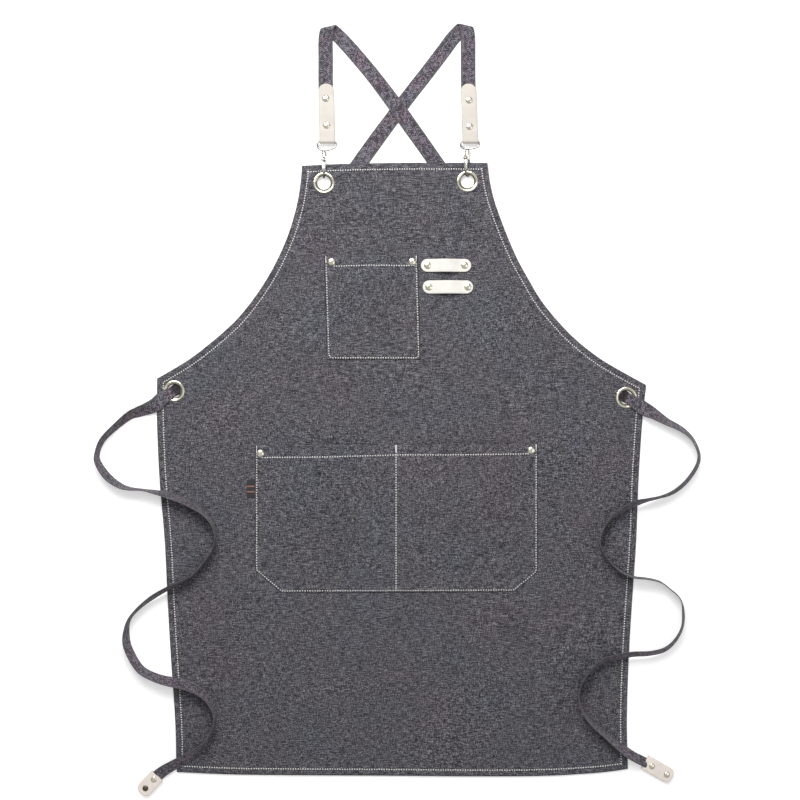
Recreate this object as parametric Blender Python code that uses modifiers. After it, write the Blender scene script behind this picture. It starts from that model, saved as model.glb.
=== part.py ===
"""Work apron laid flat: canvas panel with hem, chest pocket and double lower
pocket, leather tool loops, eyelets, and two webbing shoulder straps that cross,
run behind the panel and come out of the waist eyelets as ties. Each strap hangs
from a leather tab, a swivel eye and a spring-gate snap hook in an upper eyelet.

Metres, +Z up. Z = 0 is the surface that the apron lies on, and +Y is towards
the top of the bib. Plan positions are written on a drafting grid whose step is
1.24 mm, u to the right and v down, through at(u, v).
"""

import math

import bmesh
import bpy
from mathutils import Matrix, Vector

# ---------------------------------------------------------------- dimensions
GRID = 0.00124
U0, V0 = 401.7, 429.9
MM = 0.001

CANVAS = 0.8 * MM          # canvas thickness
SLAB_Z = 2.2 * MM          # underside of the single canvas layer
TOP_Z = SLAB_Z + CANVAS    # its front face
HEM_WIDTH = 8.0 * MM
LIFT = 3.4 * MM            # how far the bib top is lifted by the hooks below it
LIFT_V0, LIFT_V1 = 250.0, 202.0
GAP = 0.3 * MM

WEB_WIDTH, WEB_THICK = 18.0 * MM, 1.3 * MM
LEATHER = 1.6 * MM

EYELET_R, EYELET_HOLE_R, BARREL_R = 13.25 * MM, 8.3 * MM, 8.9 * MM
RIVET_CAP_R, RIVET_SHAFT_R = 4.4 * MM, 1.4 * MM

STEM_Z = 6.8 * MM          # swivel axis height of the hooks
LEG = 5.5 * MM             # hook leg offset from the swivel axis
WIRE_R = 1.3 * MM

HOOKS = {"left": (324.0, 183.1), "right": (467.3, 181.6)}
HOOK_REST = {"left": 0.0, "right": math.radians(-24.0)}
WAIST = {"left": (174.0, 391.0), "right": (626.3, 397.5)}


def at(u, v, z=0.0):
    return Vector(((u - U0) * GRID, (V0 - v) * GRID, z))


# ---------------------------------------------------------------- scene set-up
for existing in list(bpy.data.objects):
    bpy.data.objects.remove(existing, do_unlink=True)

parts = bpy.data.collections.new("apron")
bpy.context.scene.collection.children.link(parts)
cutters = bpy.data.collections.new("cutters")
bpy.context.scene.collection.children.link(cutters)


def material(name, colour, rough, metal=0.0):
    made = bpy.data.materials.new(name)
    made.use_nodes = True
    shader = made.node_tree.nodes["Principled BSDF"]
    shader.inputs["Base Color"].default_value = (*colour, 1.0)
    shader.inputs["Roughness"].default_value = rough
    shader.inputs["Metallic"].default_value = metal
    return made


CANVAS_MAT = material("canvas", (0.095, 0.093, 0.108), 0.9)
WEB_MAT = material("webbing", (0.155, 0.150, 0.175), 0.85)
LEATHER_MAT = material("leather", (0.86, 0.80, 0.72), 0.55)
METAL_MAT = material("pale_metal", (0.78, 0.72, 0.60), 0.28, 1.0)
STEEL_MAT = material("spring_steel", (0.55, 0.56, 0.58), 0.35, 1.0)
LABEL_MAT = material("label", (0.03, 0.03, 0.035), 0.8)


def adopt(obj, mat, folder=parts):
    for old in list(obj.users_collection):
        old.objects.unlink(obj)
    folder.objects.link(obj)
    obj.data.materials.clear()
    obj.data.materials.append(mat)
    return obj


def as_mesh(obj, name, mat):
    """The evaluated object as a welded mesh object of its own."""
    graph = bpy.context.evaluated_depsgraph_get()
    graph.update()
    mesh = bpy.data.meshes.new_from_object(obj.evaluated_get(graph))
    mesh.transform(obj.matrix_world)
    bm = bmesh.new()
    bm.from_mesh(mesh)
    bmesh.ops.remove_doubles(bm, verts=bm.verts, dist=0.000001)
    bmesh.ops.recalc_face_normals(bm, faces=bm.faces)
    bm.to_mesh(mesh)
    bm.free()
    bpy.data.objects.remove(obj, do_unlink=True)
    mesh.name = name
    made = bpy.data.objects.new(name, mesh)
    return adopt(made, mat)


def boolean(obj, tool, operation):
    """Applies an exact Boolean and removes the tool."""
    adopt(tool, obj.data.materials[0], cutters)
    tool.hide_render = True
    tool.display_type = "WIRE"
    mod = obj.modifiers.new("cut", "BOOLEAN")
    mod.operation = operation
    mod.solver = "EXACT"
    mod.object = tool
    bpy.context.view_layer.update()
    name, mat = obj.name, obj.data.materials[0]
    obj.name = name + "_before"
    made = as_mesh(obj, name, mat)
    made.name = name
    bpy.data.objects.remove(tool, do_unlink=True)
    return made


def outline_plate(name, outlines, z0, z1, mat):
    """A flat piece: closed plan outlines (the first is the rim, others are holes)."""
    curve = bpy.data.curves.new(name + "_outline", "CURVE")
    curve.dimensions = "2D"
    curve.fill_mode = "BOTH"
    curve.extrude = (z1 - z0) / 2
    for outline in outlines:
        spline = curve.splines.new("POLY")
        spline.points.add(len(outline) - 1)
        for point, place in zip(spline.points, outline):
            point.co = (place[0], place[1], 0.0, 1.0)
        spline.use_cyclic_u = True
    obj = bpy.data.objects.new(name + "_outline", curve)
    cutters.objects.link(obj)
    obj.location.z = (z0 + z1) / 2
    bpy.context.view_layer.update()
    return as_mesh(obj, name, mat)


def cylinder(name, radius, z0, z1, centre, steps=16, axis="Z"):
    bm = bmesh.new()
    bmesh.ops.create_cone(bm, cap_ends=True, segments=steps, radius1=radius, radius2=radius, depth=z1 - z0)
    mesh = bpy.data.meshes.new(name)
    bm.to_mesh(mesh)
    bm.free()
    mesh.transform(Matrix.Translation((0, 0, (z0 + z1) / 2)))
    if axis == "Y":
        mesh.transform(Matrix.Rotation(-math.pi / 2, 4, "X"))
    if axis == "X":
        mesh.transform(Matrix.Rotation(math.pi / 2, 4, "Y"))
    mesh.transform(Matrix.Translation(centre))
    return adopt(bpy.data.objects.new(name, mesh), METAL_MAT)


def block(name, low, high, mat=None):
    bm = bmesh.new()
    bmesh.ops.create_cube(bm, size=1.0)
    mesh = bpy.data.meshes.new(name)
    bm.to_mesh(mesh)
    bm.free()
    low, high = Vector(low), Vector(high)
    mesh.transform(Matrix.Translation((low + high) / 2) @ Matrix.Diagonal((*(high - low), 1.0)))
    return adopt(bpy.data.objects.new(name, mesh), mat or METAL_MAT)


def punch(obj, holes, radius, z0=-0.005, z1=0.03, steps=12):
    for u, v in holes:
        obj = boolean(obj, cylinder("punch", radius, z0, z1, at(u, v), steps), "DIFFERENCE")
    return obj


def turned(name, profile, centre, mat, steps, ring=False):
    """A Screw of a profile of (radius, height) points, outer side from top to bottom."""
    mesh = bpy.data.meshes.new(name + "_profile")
    edges = [(i, i + 1) for i in range(len(profile) - 1)]
    if ring:
        edges.append((len(profile) - 1, 0))
    mesh.from_pydata([(r, 0.0, z) for r, z in profile], edges, [])
    obj = bpy.data.objects.new(name + "_profile", mesh)
    cutters.objects.link(obj)
    screw = obj.modifiers.new("turn", "SCREW")
    screw.steps = screw.render_steps = steps
    screw.use_merge_vertices = True
    screw.merge_threshold = 0.00001
    obj.location = centre
    bpy.context.view_layer.update()
    return as_mesh(obj, name, mat)


def through(points, steps):
    """Points of a Catmull-Rom curve through rows of equal length, some to each stretch."""
    rows = [tuple(p) for p in points]
    rows = [rows[0]] + rows + [rows[-1]]
    dense = []
    for i in range(1, len(rows) - 2):
        p0, p1, p2, p3 = rows[i - 1 : i + 3]
        for k in range(steps):
            t = k / steps
            dense.append(
                tuple(
                    0.5 * (2 * b + (c - a) * t + (2 * a - 5 * b + 4 * c - d) * t * t + (3 * b - a - 3 * c + d) * t**3)
                    for a, b, c, d in zip(p0, p1, p2, p3)
                )
            )
    dense.append(rows[-2])
    return dense


def smooth_path(points, count):
    """The same curve, evenly spaced."""
    dense = through(points, 24)
    run = [0.0]
    for a, b in zip(dense, dense[1:]):
        run.append(run[-1] + math.dist(a[:3], b[:3]))
    made, k = [], 0
    for i in range(count):
        want = run[-1] * i / (count - 1)
        while k < len(run) - 2 and run[k + 1] < want:
            k += 1
        t = (want - run[k]) / max(run[k + 1] - run[k], 1e-12)
        made.append(tuple(a + (b - a) * t for a, b in zip(dense[k], dense[k + 1])))
    return made


def tube(name, points, radius, mat, cyclic=False, resolution=1):
    curve = bpy.data.curves.new(name + "_path", "CURVE")
    curve.dimensions = "3D"
    curve.bevel_depth = radius
    curve.bevel_resolution = resolution
    curve.use_fill_caps = not cyclic
    spline = curve.splines.new("POLY")
    spline.points.add(len(points) - 1)
    for point, place in zip(spline.points, points):
        point.co = (*place[:3], 1.0)
    spline.use_cyclic_u = cyclic
    obj = bpy.data.objects.new(name + "_path", curve)
    cutters.objects.link(obj)
    bpy.context.view_layer.update()
    return as_mesh(obj, name, mat)


def slice_rows(obj, values, axis):
    """Cuts extra edge rows across a piece at the given places along an axis."""
    normal = Vector((1, 0, 0)) if axis == 0 else Vector((0, 1, 0))
    bm = bmesh.new()
    bm.from_mesh(obj.data)
    for value in values:
        bmesh.ops.bisect_plane(
            bm,
            geom=list(bm.verts) + list(bm.edges) + list(bm.faces),
            dist=1e-7,
            plane_co=normal * value,
            plane_no=normal,
        )
    bm.to_mesh(obj.data)
    bm.free()


def raise_by(obj, height):
    for vertex in obj.data.vertices:
        vertex.co.z += height(vertex.co.x, vertex.co.y)


def smoothstep(t):
    t = min(max(t, 0.0), 1.0)
    return t * t * (3 - 2 * t)


def lift(x, y):
    """Height that the bib top gains, from 0 below the chest to LIFT at its eyelets."""
    v = V0 - y / GRID
    return LIFT * smoothstep((LIFT_V0 - v) / (LIFT_V0 - LIFT_V1))


def span(a, b, steps):
    return [a + (b - a) * i / steps for i in range(steps + 1)]


# ---------------------------------------------------------------- canvas panel
def corner_run(points, count):
    return [Vector(p[:2]) for p in smooth_path([tuple(at(*q)) for q in points], count)][:-1]


LEFT_ARM = [(302, 166), (301, 180), (298, 200), (293, 220), (286, 240), (277, 260), (266, 280), (252.5, 300), (236, 320), (214, 340), (188, 360), (157, 378.5)]
LEFT_SIDE = [(157, 378.5), (156.8, 420), (159.5, 480), (164.5, 540), (167.5, 600), (171, 660), (175.0, 720), (176.2, 764), (177.0, 772.3)]
BOTTOM = [(177.0, 772.3), (230, 774.6), (290, 775.4), (400, 776.0), (470, 776.6), (540, 776.6), (590, 774.6), (614, 771.5), (628.0, 766.8)]
RIGHT_SIDE = [(628.0, 766.8), (627.0, 720), (628.8, 660), (632.3, 600), (636.3, 540), (638.6, 480), (642.5, 420), (646.4, 385)]
RIGHT_ARM = [(646.4, 385), (604, 361), (576.5, 340), (557, 320), (541, 300), (529, 280), (518, 260), (509, 240), (501, 220), (494, 200), (489.5, 180), (487.5, 163)]
TOP = [(487.5, 163), (440, 162.9), (395, 163.1), (345, 164), (302, 166)]

rim = (
    corner_run(LEFT_ARM, 20)
    + corner_run(LEFT_SIDE, 9)
    + corner_run(BOTTOM, 10)
    + corner_run(RIGHT_SIDE, 9)
    + corner_run(RIGHT_ARM, 20)
    + corner_run(TOP, 5)
)


def inset(outline, distance):
    """The outline moved inwards; it runs anticlockwise in plan."""
    made, count = [], len(outline)
    for i in range(count):
        before, here, after = outline[i - 1], outline[i], outline[(i + 1) % count]
        a, b = (here - before).normalized(), (after - here).normalized()
        na, nb = Vector((-a.y, a.x)), Vector((-b.y, b.x))
        mitre = (na + nb).normalized()
        made.append(here + mitre * (distance / max(mitre.dot(na), 0.3)))
    return made


panel = outline_plate("apron_panel", [rim], 0.0, TOP_Z, CANVAS_MAT)
recess = outline_plate("recess", [inset(rim, HEM_WIDTH)], -0.002, SLAB_Z, CANVAS_MAT)
panel = boolean(panel, recess, "DIFFERENCE")

POCKET_RIVETS = {
    "chest_left": (331.5, 262.1),
    "chest_right": (412.2, 261.8),
    "lower_left": (260.4, 453.5),
    "lower_right": (531.2, 450.4),
}
LOOP_RIVETS = {
    "upper_left": (427.6, 265.5),
    "upper_right": (464.5, 265.3),
    "lower_left": (428.8, 287.0),
    "lower_right": (467.7, 287.0),
}
panel = punch(panel, list(POCKET_RIVETS.values()) + list(LOOP_RIVETS.values()), RIVET_SHAFT_R + GAP)
panel = punch(panel, list(HOOKS.values()) + list(WAIST.values()), BARREL_R + GAP, steps=24)
slice_rows(panel, [at(0, v).y for v in span(LIFT_V0, LIFT_V1, 8)], 1)
raise_by(panel, lift)

# ---------------------------------------------------------------- eyelets
for side in ("left", "right"):
    for row, place, base in (("upper", HOOKS[side], LIFT), ("waist", WAIST[side], 0.0)):
        under, over = SLAB_Z + base, TOP_Z + base
        face = over + GAP
        turned(
            f"eyelet_{row}_{side}",
            [
                (EYELET_HOLE_R + 0.5 * MM, face + 1.0 * MM),
                (10.8 * MM, face + 1.0 * MM),
                (12.6 * MM, face + 0.6 * MM),
                (EYELET_R, face),
                (BARREL_R, face),
                (BARREL_R, under - 0.6 * MM),
                (EYELET_HOLE_R, under - 0.6 * MM),
                (EYELET_HOLE_R, face + 0.6 * MM),
            ],
            at(*place),
            METAL_MAT,
            28,
            ring=True,
        )
        turned(
            f"washer_{row}_{side}",
            [
                (12.4 * MM, under - GAP),
                (12.4 * MM, under - 0.6 * MM),
                (BARREL_R + GAP, under - 0.6 * MM),
                (BARREL_R + GAP, under - GAP),
            ],
            at(*place),
            METAL_MAT,
            24,
            ring=True,
        )


# ---------------------------------------------------------------- rivets
def rivet(name, place, under, over, cap=RIVET_CAP_R, back=3.4 * MM, mat=METAL_MAT):
    """A domed cap above over and a flat back cap below under, on one shaft."""
    z = over + GAP
    b = under - GAP
    return turned(
        name,
        [
            (0.0, z + 1.5 * MM),
            (cap * 0.55, z + 1.25 * MM),
            (cap * 0.9, z + 0.7 * MM),
            (cap, z),
            (RIVET_SHAFT_R, z),
            (RIVET_SHAFT_R, b),
            (back, b),
            (back, b - 0.6 * MM),
            (0.0, b - 0.6 * MM),
        ],
        at(*place),
        mat,
        14,
    )


# ---------------------------------------------------------------- pockets
POCKET_UNDER = TOP_Z + GAP


def swell(t, edge):
    """0 near both ends of 0..1 and 1 in the middle."""
    s = min(max((t - edge) / (1 - 2 * edge), 0.0), 1.0)
    return math.sin(math.pi * s) ** 1.2 if 0 < s < 1 else 0.0


def pocket(name, outline, mouth_v, foot_v, cells, heights, lean, edge, mat=CANVAS_MAT):
    """A canvas patch that stands off the panel at its mouth, cell by cell."""
    obj = outline_plate(name, [[at(*p).xy for p in outline]], POCKET_UNDER, POCKET_UNDER + CANVAS, mat)
    xs = []
    for (a, b) in cells:
        xs += span(a, b, 10)
    slice_rows(obj, [at(u, 0).x for u in xs[1:-1]], 0)
    slice_rows(obj, [at(0, v).y for v in span(mouth_v, foot_v, 7)[1:-1]], 1)

    def height(x, y):
        u, v = U0 + x / GRID, V0 - y / GRID
        depth = (v - mouth_v) / (foot_v - mouth_v)
        shift = lean * depth
        for (a, b), h in zip(cells, heights):
            if a <= u - shift <= b:
                along = swell((u - shift - a) / (b - a), edge)
                return h * along * (1 - smoothstep((depth - 0.25) / 0.65))
        return 0.0

    raise_by(obj, height)
    return obj


chest = pocket(
    "chest_pocket",
    [(324, 255), (327, 360), (420.6, 360), (418, 255)],
    255,
    360,
    [(324, 418)],
    [9.5 * MM],
    2.8,
    0.135,
)
chest = punch(chest, [POCKET_RIVETS["chest_left"], POCKET_RIVETS["chest_right"]], RIVET_SHAFT_R + GAP)
lower = pocket(
    "lower_pocket",
    [(254.8, 444.5), (255, 570.6), (280.8, 593.3), (514.4, 592.3), (538, 572.6), (538, 444.5)],
    444.5,
    593,
    [(254.8, 396.1), (396.1, 538)],
    [10.5 * MM, 10.5 * MM],
    0.0,
    0.085,
)
lower = punch(lower, [POCKET_RIVETS["lower_left"], POCKET_RIVETS["lower_right"]], RIVET_SHAFT_R + GAP)

for key, place in POCKET_RIVETS.items():
    rivet(f"rivet_pocket_{key}", place, SLAB_Z, POCKET_UNDER + CANVAS + 0.5 * MM)

# the small woven tab sewn into the pocket's left seam
label = outline_plate(
    "side_label",
    [[at(*p).xy for p in [(246.6, 480), (246.6, 498), (254.2, 498), (254.2, 480)]]],
    TOP_Z + GAP,
    TOP_Z + GAP + 0.8 * MM,
    LABEL_MAT,
)


# ---------------------------------------------------------------- tool loops
def rounded_bar(u0, v0, u1, v1, steps=6):
    """Plan outline of a bar with fully round ends, anticlockwise."""
    r = (v1 - v0) / 2
    vm = (v0 + v1) / 2
    left = [(u0 + r - r * math.sin(a), vm - r * math.cos(a)) for a in span(0.0, math.pi, steps)]
    right = [(u1 - r + r * math.sin(a), vm + r * math.cos(a)) for a in span(0.0, math.pi, steps)]
    return [at(*p).xy for p in left + right]


LOOP_H = 6.4 * MM
for row, (u0, v0, u1, v1) in {
    "upper": (420.9, 258.9, 471.2, 272.0),
    "lower": (422.6, 280.4, 473.1, 293.7),
}.items():
    bar = outline_plate(f"tool_loop_{row}", [rounded_bar(u0, v0, u1, v1)], TOP_Z + GAP, TOP_Z + GAP + LEATHER, LEATHER_MAT)
    ends = [LOOP_RIVETS[f"{row}_left"], LOOP_RIVETS[f"{row}_right"]]
    a, b = ends[0][0] + 4.2, ends[1][0] - 4.2
    slice_rows(bar, [at(u, 0).x for u in span(a, b, 10)], 0)
    raise_by(bar, lambda x, y, a=a, b=b: LOOP_H * swell((U0 + x / GRID - a) / (b - a), 0.0))
    bar = punch(bar, ends, RIVET_SHAFT_R + GAP)
    for key, place in zip(("left", "right"), ends):
        rivet(f"rivet_loop_{row}_{key}", place, SLAB_Z, TOP_Z + GAP + LEATHER)


# ---------------------------------------------------------------- strap tabs
BAR_V = 141.5                      # where the eye's cross bar lies
TAB_V0 = 84.0                      # upper end of the leather tab
TAB_HALF = 9.75 * MM
EYE_WIRE_R = 1.2 * MM
TAB_U = {"left": 326.7, "right": 469.6}
PLY_U = {"left": 325.8, "right": 468.2}
WRAP_R = EYE_WIRE_R + GAP + LEATHER / 2
TAB_RIVETS = {
    "left": ((325.9, 98.9), (326.9, 126.1)),
    "right": ((468.9, 100.6), (469.5, 127.3)),
}


def tab_under(v):
    return 2.0 * MM + (STEM_Z - WRAP_R - 2.0 * MM) * min(max((v - TAB_V0) / (BAR_V - TAB_V0), 0.0), 1.0)


def tab_over(v):
    return 5.5 * MM + (STEM_Z + WRAP_R - 5.5 * MM) * min(max((v - TAB_V0) / (BAR_V - TAB_V0), 0.0), 1.0)


def front_ply(v):
    """Centre height of the front strap ply: low at the fold, between the tab's plies below."""
    if v <= 66:
        return 2.25 * MM
    if v <= TAB_V0:
        return 2.25 * MM + 1.5 * MM * smoothstep((v - 66) / (TAB_V0 - 66))
    return (tab_under(v) + tab_over(v)) / 2


for side in ("left", "right"):
    # side profile of the folded leather, along Y and Z
    bar_y = at(0, BAR_V).y
    centre_line = [(at(0, v).y, tab_under(v)) for v in span(TAB_V0, BAR_V, 4)]
    centre_line += [
        (bar_y - WRAP_R * math.sin(a), STEM_Z - WRAP_R * math.cos(a)) for a in span(0.0, math.pi, 10)[1:-1]
    ]
    centre_line += [(at(0, v).y, tab_over(v)) for v in span(BAR_V, TAB_V0, 4)]
    outer, inner = [], []
    for i, here in enumerate(centre_line):
        a = Vector(centre_line[max(i - 1, 0)])
        b = Vector(centre_line[min(i + 1, len(centre_line) - 1)])
        along = (b - a).normalized()
        across = Vector((-along.y, along.x)) * (LEATHER / 2)
        outer.append(Vector(here) - across)
        inner.append(Vector(here) + across)
    tab = outline_plate(f"strap_tab_{side}", [outer + inner[::-1]], -TAB_HALF, TAB_HALF, LEATHER_MAT)
    turn = Matrix(((0, 0, 1, at(TAB_U[side], 0).x), (1, 0, 0, 0), (0, 1, 0, 0), (0, 0, 0, 1)))
    tab.data.transform(turn)
    rounded = [
        (TAB_U[side] + 9.0, 160.0),
        (TAB_U[side] + 9.0, TAB_V0 + 6.0),
    ]
    rounded += [
        (TAB_U[side] + 8.0 * math.cos(a), TAB_V0 + 6.2 - 6.0 * math.sin(a)) for a in span(0.0, math.pi, 10)
    ]
    rounded += [(TAB_U[side] - 9.0, TAB_V0 + 6.0), (TAB_U[side] - 9.0, 160.0)]
    tab = boolean(tab, outline_plate("trim", [[at(*p).xy for p in rounded]], -0.002, 0.02, LEATHER_MAT), "INTERSECT")
    tab = punch(tab, TAB_RIVETS[side], RIVET_SHAFT_R + 0.4 * MM)
    for label_end, place in zip(("top", "bottom"), TAB_RIVETS[side]):
        slope = 0.35 * MM
        rivet(
            f"rivet_tab_{side}_{label_end}",
            place,
            tab_under(place[1]) - LEATHER / 2 - slope,
            tab_over(place[1]) + LEATHER / 2 + slope,
            back=3.2 * MM,
        )

# ---------------------------------------------------------------- swivel eyes
Y_BARREL_TOP, Y_BARREL_LOW = 38.0 * MM, 31.0 * MM      # from the eyelet's centre
Y_PIVOT, Y_NOSE, Y_U = 28.4 * MM, 14.2 * MM, 11.5 * MM


def about_stem(obj, side):
    """Turns a piece of the hook about its swivel axis to where it rests."""
    centre = at(*HOOKS[side], STEM_Z)
    turn = Matrix.Translation(centre) @ Matrix.Rotation(HOOK_REST[side], 4, "Y") @ Matrix.Translation(-centre)
    obj.data.transform(turn)
    return obj


for side in ("left", "right"):
    cx, cy, cz = at(*HOOKS[side], STEM_Z)
    dx = at(TAB_U[side], 0).x
    top_y = at(0, BAR_V).y
    low_y = cy + 40.2 * MM
    half = 11.4 * MM
    depth = top_y - low_y
    loop = [(dx - half + 2.2 * MM, top_y, cz), (dx + half - 2.2 * MM, top_y, cz)]
    loop += [(dx + half - 0.6 * MM, top_y - 0.7 * MM, cz), (dx + half, top_y - 2.4 * MM, cz)]
    loop += [
        (
            dx + (cx - dx) * (1 - math.cos(a)) + half * math.cos(a),
            low_y + (depth - 4.5 * MM) * (1 - math.sin(a)),
            cz,
        )
        for a in span(0.0, math.pi / 2, 7)
    ]
    loop += [
        (
            dx + (cx - dx) * (1 - math.cos(a)) - half * math.cos(a),
            low_y + (depth - 4.5 * MM) * (1 - math.sin(a)),
            cz,
        )
        for a in span(math.pi / 2, 0.0, 7)[1:]
    ]
    loop += [(dx - half, top_y - 2.4 * MM, cz), (dx - half + 0.6 * MM, top_y - 0.7 * MM, cz)]
    eye = tube(f"swivel_eye_{side}", loop, EYE_WIRE_R, METAL_MAT, cyclic=True, resolution=2)
    shank = cylinder("shank", 1.2 * MM, -(low_y - cy) + 0.2 * MM, -(33.2 * MM), Vector((cx, cy, cz)), 12)
    shank.data.transform(
        Matrix.Translation((cx, cy, cz)) @ Matrix.Rotation(math.pi / 2, 4, "X") @ Matrix.Translation((-cx, -cy, -cz))
    )
    eye = boolean(eye, shank, "UNION")

    # hook body: barrel, cheeks, spine, bend and nose
    barrel = cylinder("snap_hook_" + side, 3.4 * MM, Y_BARREL_LOW, Y_BARREL_TOP, Vector((cx, cy, cz)), 20, axis="Y")
    run = [
        (cx, cy + 33.0 * MM, cz - 1.6 * MM),
        (cx, cy + 30.6 * MM, cz - 2.4 * MM),
        (cx, cy + 27.6 * MM, cz - 4.3 * MM),
        (cx, cy + 24.6 * MM, cz - LEG),
        (cx, cy + 17.0 * MM, cz - LEG),
    ]
    run += [(cx, cy + Y_U - LEG * math.sin(a), cz - LEG * math.cos(a)) for a in span(0.0, math.pi, 10)]
    run += [(cx, cy + Y_NOSE, cz + LEG)]
    spine = tube("spine", run, WIRE_R, METAL_MAT, resolution=2)
    barrel = boolean(barrel, spine, "UNION")
    fork = block(
        "fork",
        (cx - 2.9 * MM, cy + 26.4 * MM, cz + 0.6 * MM),
        (cx + 2.9 * MM, cy + 32.0 * MM, cz + LEG + 1.5 * MM),
    )
    slot = block(
        "slot",
        (cx - 1.7 * MM, cy + 24.0 * MM, cz - 1.0 * MM),
        (cx + 1.7 * MM, cy + 30.5 * MM, cz + LEG + 3.0 * MM),
    )
    barrel = boolean(barrel, boolean(fork, slot, "DIFFERENCE"), "UNION")
    bore = cylinder("bore", 1.5 * MM, 32.6 * MM, 39.0 * MM, Vector((cx, cy, cz)), 12, axis="Y")
    barrel = boolean(barrel, bore, "DIFFERENCE")
    pivot = Vector((cx, cy + Y_PIVOT, cz + LEG))
    bore = cylinder("bore", 1.0 * MM, -4 * MM, 4 * MM, pivot, 12, axis="X")
    barrel = boolean(barrel, bore, "DIFFERENCE")
    about_stem(barrel, side)

    # gate: hub with a lever whose tip closes on the nose
    gate = cylinder("hook_gate_" + side, 1.7 * MM, -1.3 * MM, 0.2 * MM, pivot, 14, axis="X")
    lever = block(
        "lever",
        (cx - 1.2 * MM, cy + Y_NOSE + 3.0 * MM, cz + LEG - 0.85 * MM),
        (cx + 0.1 * MM, cy + Y_PIVOT + 0.3 * MM, cz + LEG + 0.85 * MM),
    )
    gate = boolean(gate, lever, "UNION")
    pad = block(
        "pad",
        (cx - 2.1 * MM, cy + Y_NOSE + 0.5 * MM, cz + LEG - 1.0 * MM),
        (cx + 2.1 * MM, cy + Y_NOSE + 9.0 * MM, cz + LEG + 1.0 * MM),
    )
    gate = boolean(gate, pad, "UNION")
    gate = boolean(gate, cylinder("bore", 1.0 * MM, -2 * MM, 2 * MM, pivot, 12, axis="X"), "DIFFERENCE")
    about_stem(gate, side)

    pin = cylinder("gate_pin_" + side, 0.7 * MM, -3.3 * MM, 3.3 * MM, pivot, 12, axis="X")
    about_stem(pin, side)

    coil = [
        (
            cx + (0.52 + 0.72 * k / 15) * MM,
            pivot.y + 1.3 * MM * math.cos(2 * math.pi * k / 10),
            pivot.z + 1.3 * MM * math.sin(2 * math.pi * k / 10),
        )
        for k in range(16)
    ]
    about_stem(tube("gate_spring_" + side, coil, 0.17 * MM, STEEL_MAT, resolution=0), side)

# ---------------------------------------------------------------- webbing
EDGE = 90.0                         # roll of a strap that stands on its edge
HALF_W = WEB_WIDTH / 2 / MM


def lie(u, v, roll, base, width=1.0):
    """A strap station: plan place, roll in degrees (0 flat, 90 on edge), what it lies on (mm), width factor."""
    r = math.radians(roll)
    z = base + (HALF_W * abs(math.sin(r)) + 0.65 * abs(math.cos(r))) * width
    x, y, _ = at(u, v)
    return (x, y, z * MM, r, width)


PANEL_TOP = 3.3                     # mm, a gap above the canvas

LEFT_RUN = [
    lie(337.8, 32, 0, 0), lie(353.0, 51.5, 0, 0), lie(370.7, 72.5, 0, 0.1), lie(387.9, 95, 0, 1.3, 1.02), lie(398.8, 110, 0, 1.7, 1.04),
    lie(409.5, 125, 0, 1.3, 1.04), lie(420.8, 140.7, 0, 0.1, 1.04), lie(436.0, 162.4, 0, 0, 1.04), lie(449.6, 182, 0, 0, 1.03), lie(464, 207, 0, 0),
    lie(478, 232, 0, 0), lie(491, 256, 0, 0), lie(505, 284, 0, 0), lie(522, 314, 0, 0), lie(543, 340, 0, 0),
    lie(567, 362, 0, 0), lie(588, 377.5, 0, 0, 0.95), lie(604, 385.2, 0, 0, 0.75), lie(615.3, 390.8, 0, 0, 0.54),
    lie(621.1, 394.4, 0, 0.25, 0.5), lie(626.3, 397.5, 0, 2.6, 0.5), lie(631.1, 400.4, 0, 4.75, 0.5),
    lie(635.3, 403.0, 0, 5.1, 0.58), lie(638.7, 405.0, 3, 5.0, 0.7),
]
RIGHT_TIE = [
    lie(646, 410, 14, 4.0, 0.9), lie(653.7, 414, 38, 2.2), lie(667, 422, 58, 0), lie(680.5, 429, 66, 0), lie(691, 438, 72, 0),
    lie(697.3, 450.4, 72, 0), lie(698, 460, 70, 0), lie(694, 470, 68, 0), lie(684.6, 482.5, 68, 0), lie(672.5, 492, 70, 0),
    lie(659, 497, 76, 1.2), lie(645.7, 500, 72, 3.3), lie(635, 503, 62, 3.3), lie(623, 509, 64, 3.3), lie(611, 517, 74, 3.3),
    lie(603, 528, 82, 3.3), lie(599, 540, 88, 3.3), lie(601.5, 549.5, 88, 3.3), lie(609.6, 561.5, 88, 3.3), lie(620, 571, 88, 3.3),
    lie(633, 576.5, 86, 3.3), lie(645.7, 578, 88, 2.4), lie(659.5, 581.4, 88, 0.2), lie(670, 589, 88, 0), lie(679.4, 598, 86, 0),
    lie(682.5, 610.5, 74, 0), lie(681.7, 626, 72, 0), lie(674.8, 639.6, 68, 0), lie(664, 649, 64, 0.4), lie(648.8, 652.6, 64, 2.6),
    lie(632, 653.4, 62, 3.3), lie(616.6, 656.4, 59, 3.3), lie(601, 661, 64, 3.3), lie(589, 671.7, 74, 3.3), lie(581.4, 682.5, 80, 3.3),
    lie(578.4, 694.7, 82, 3.3), lie(581.4, 708.5, 80, 3.3), lie(590.6, 722, 78, 3.3), lie(603, 733, 76, 3.3), lie(616, 743.5, 66, 3.4),
    lie(626, 751, 50, 3.5), lie(634.5, 756.5, 26, 3.2), lie(642.5, 760.8, 4, 2.4),
]
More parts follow.
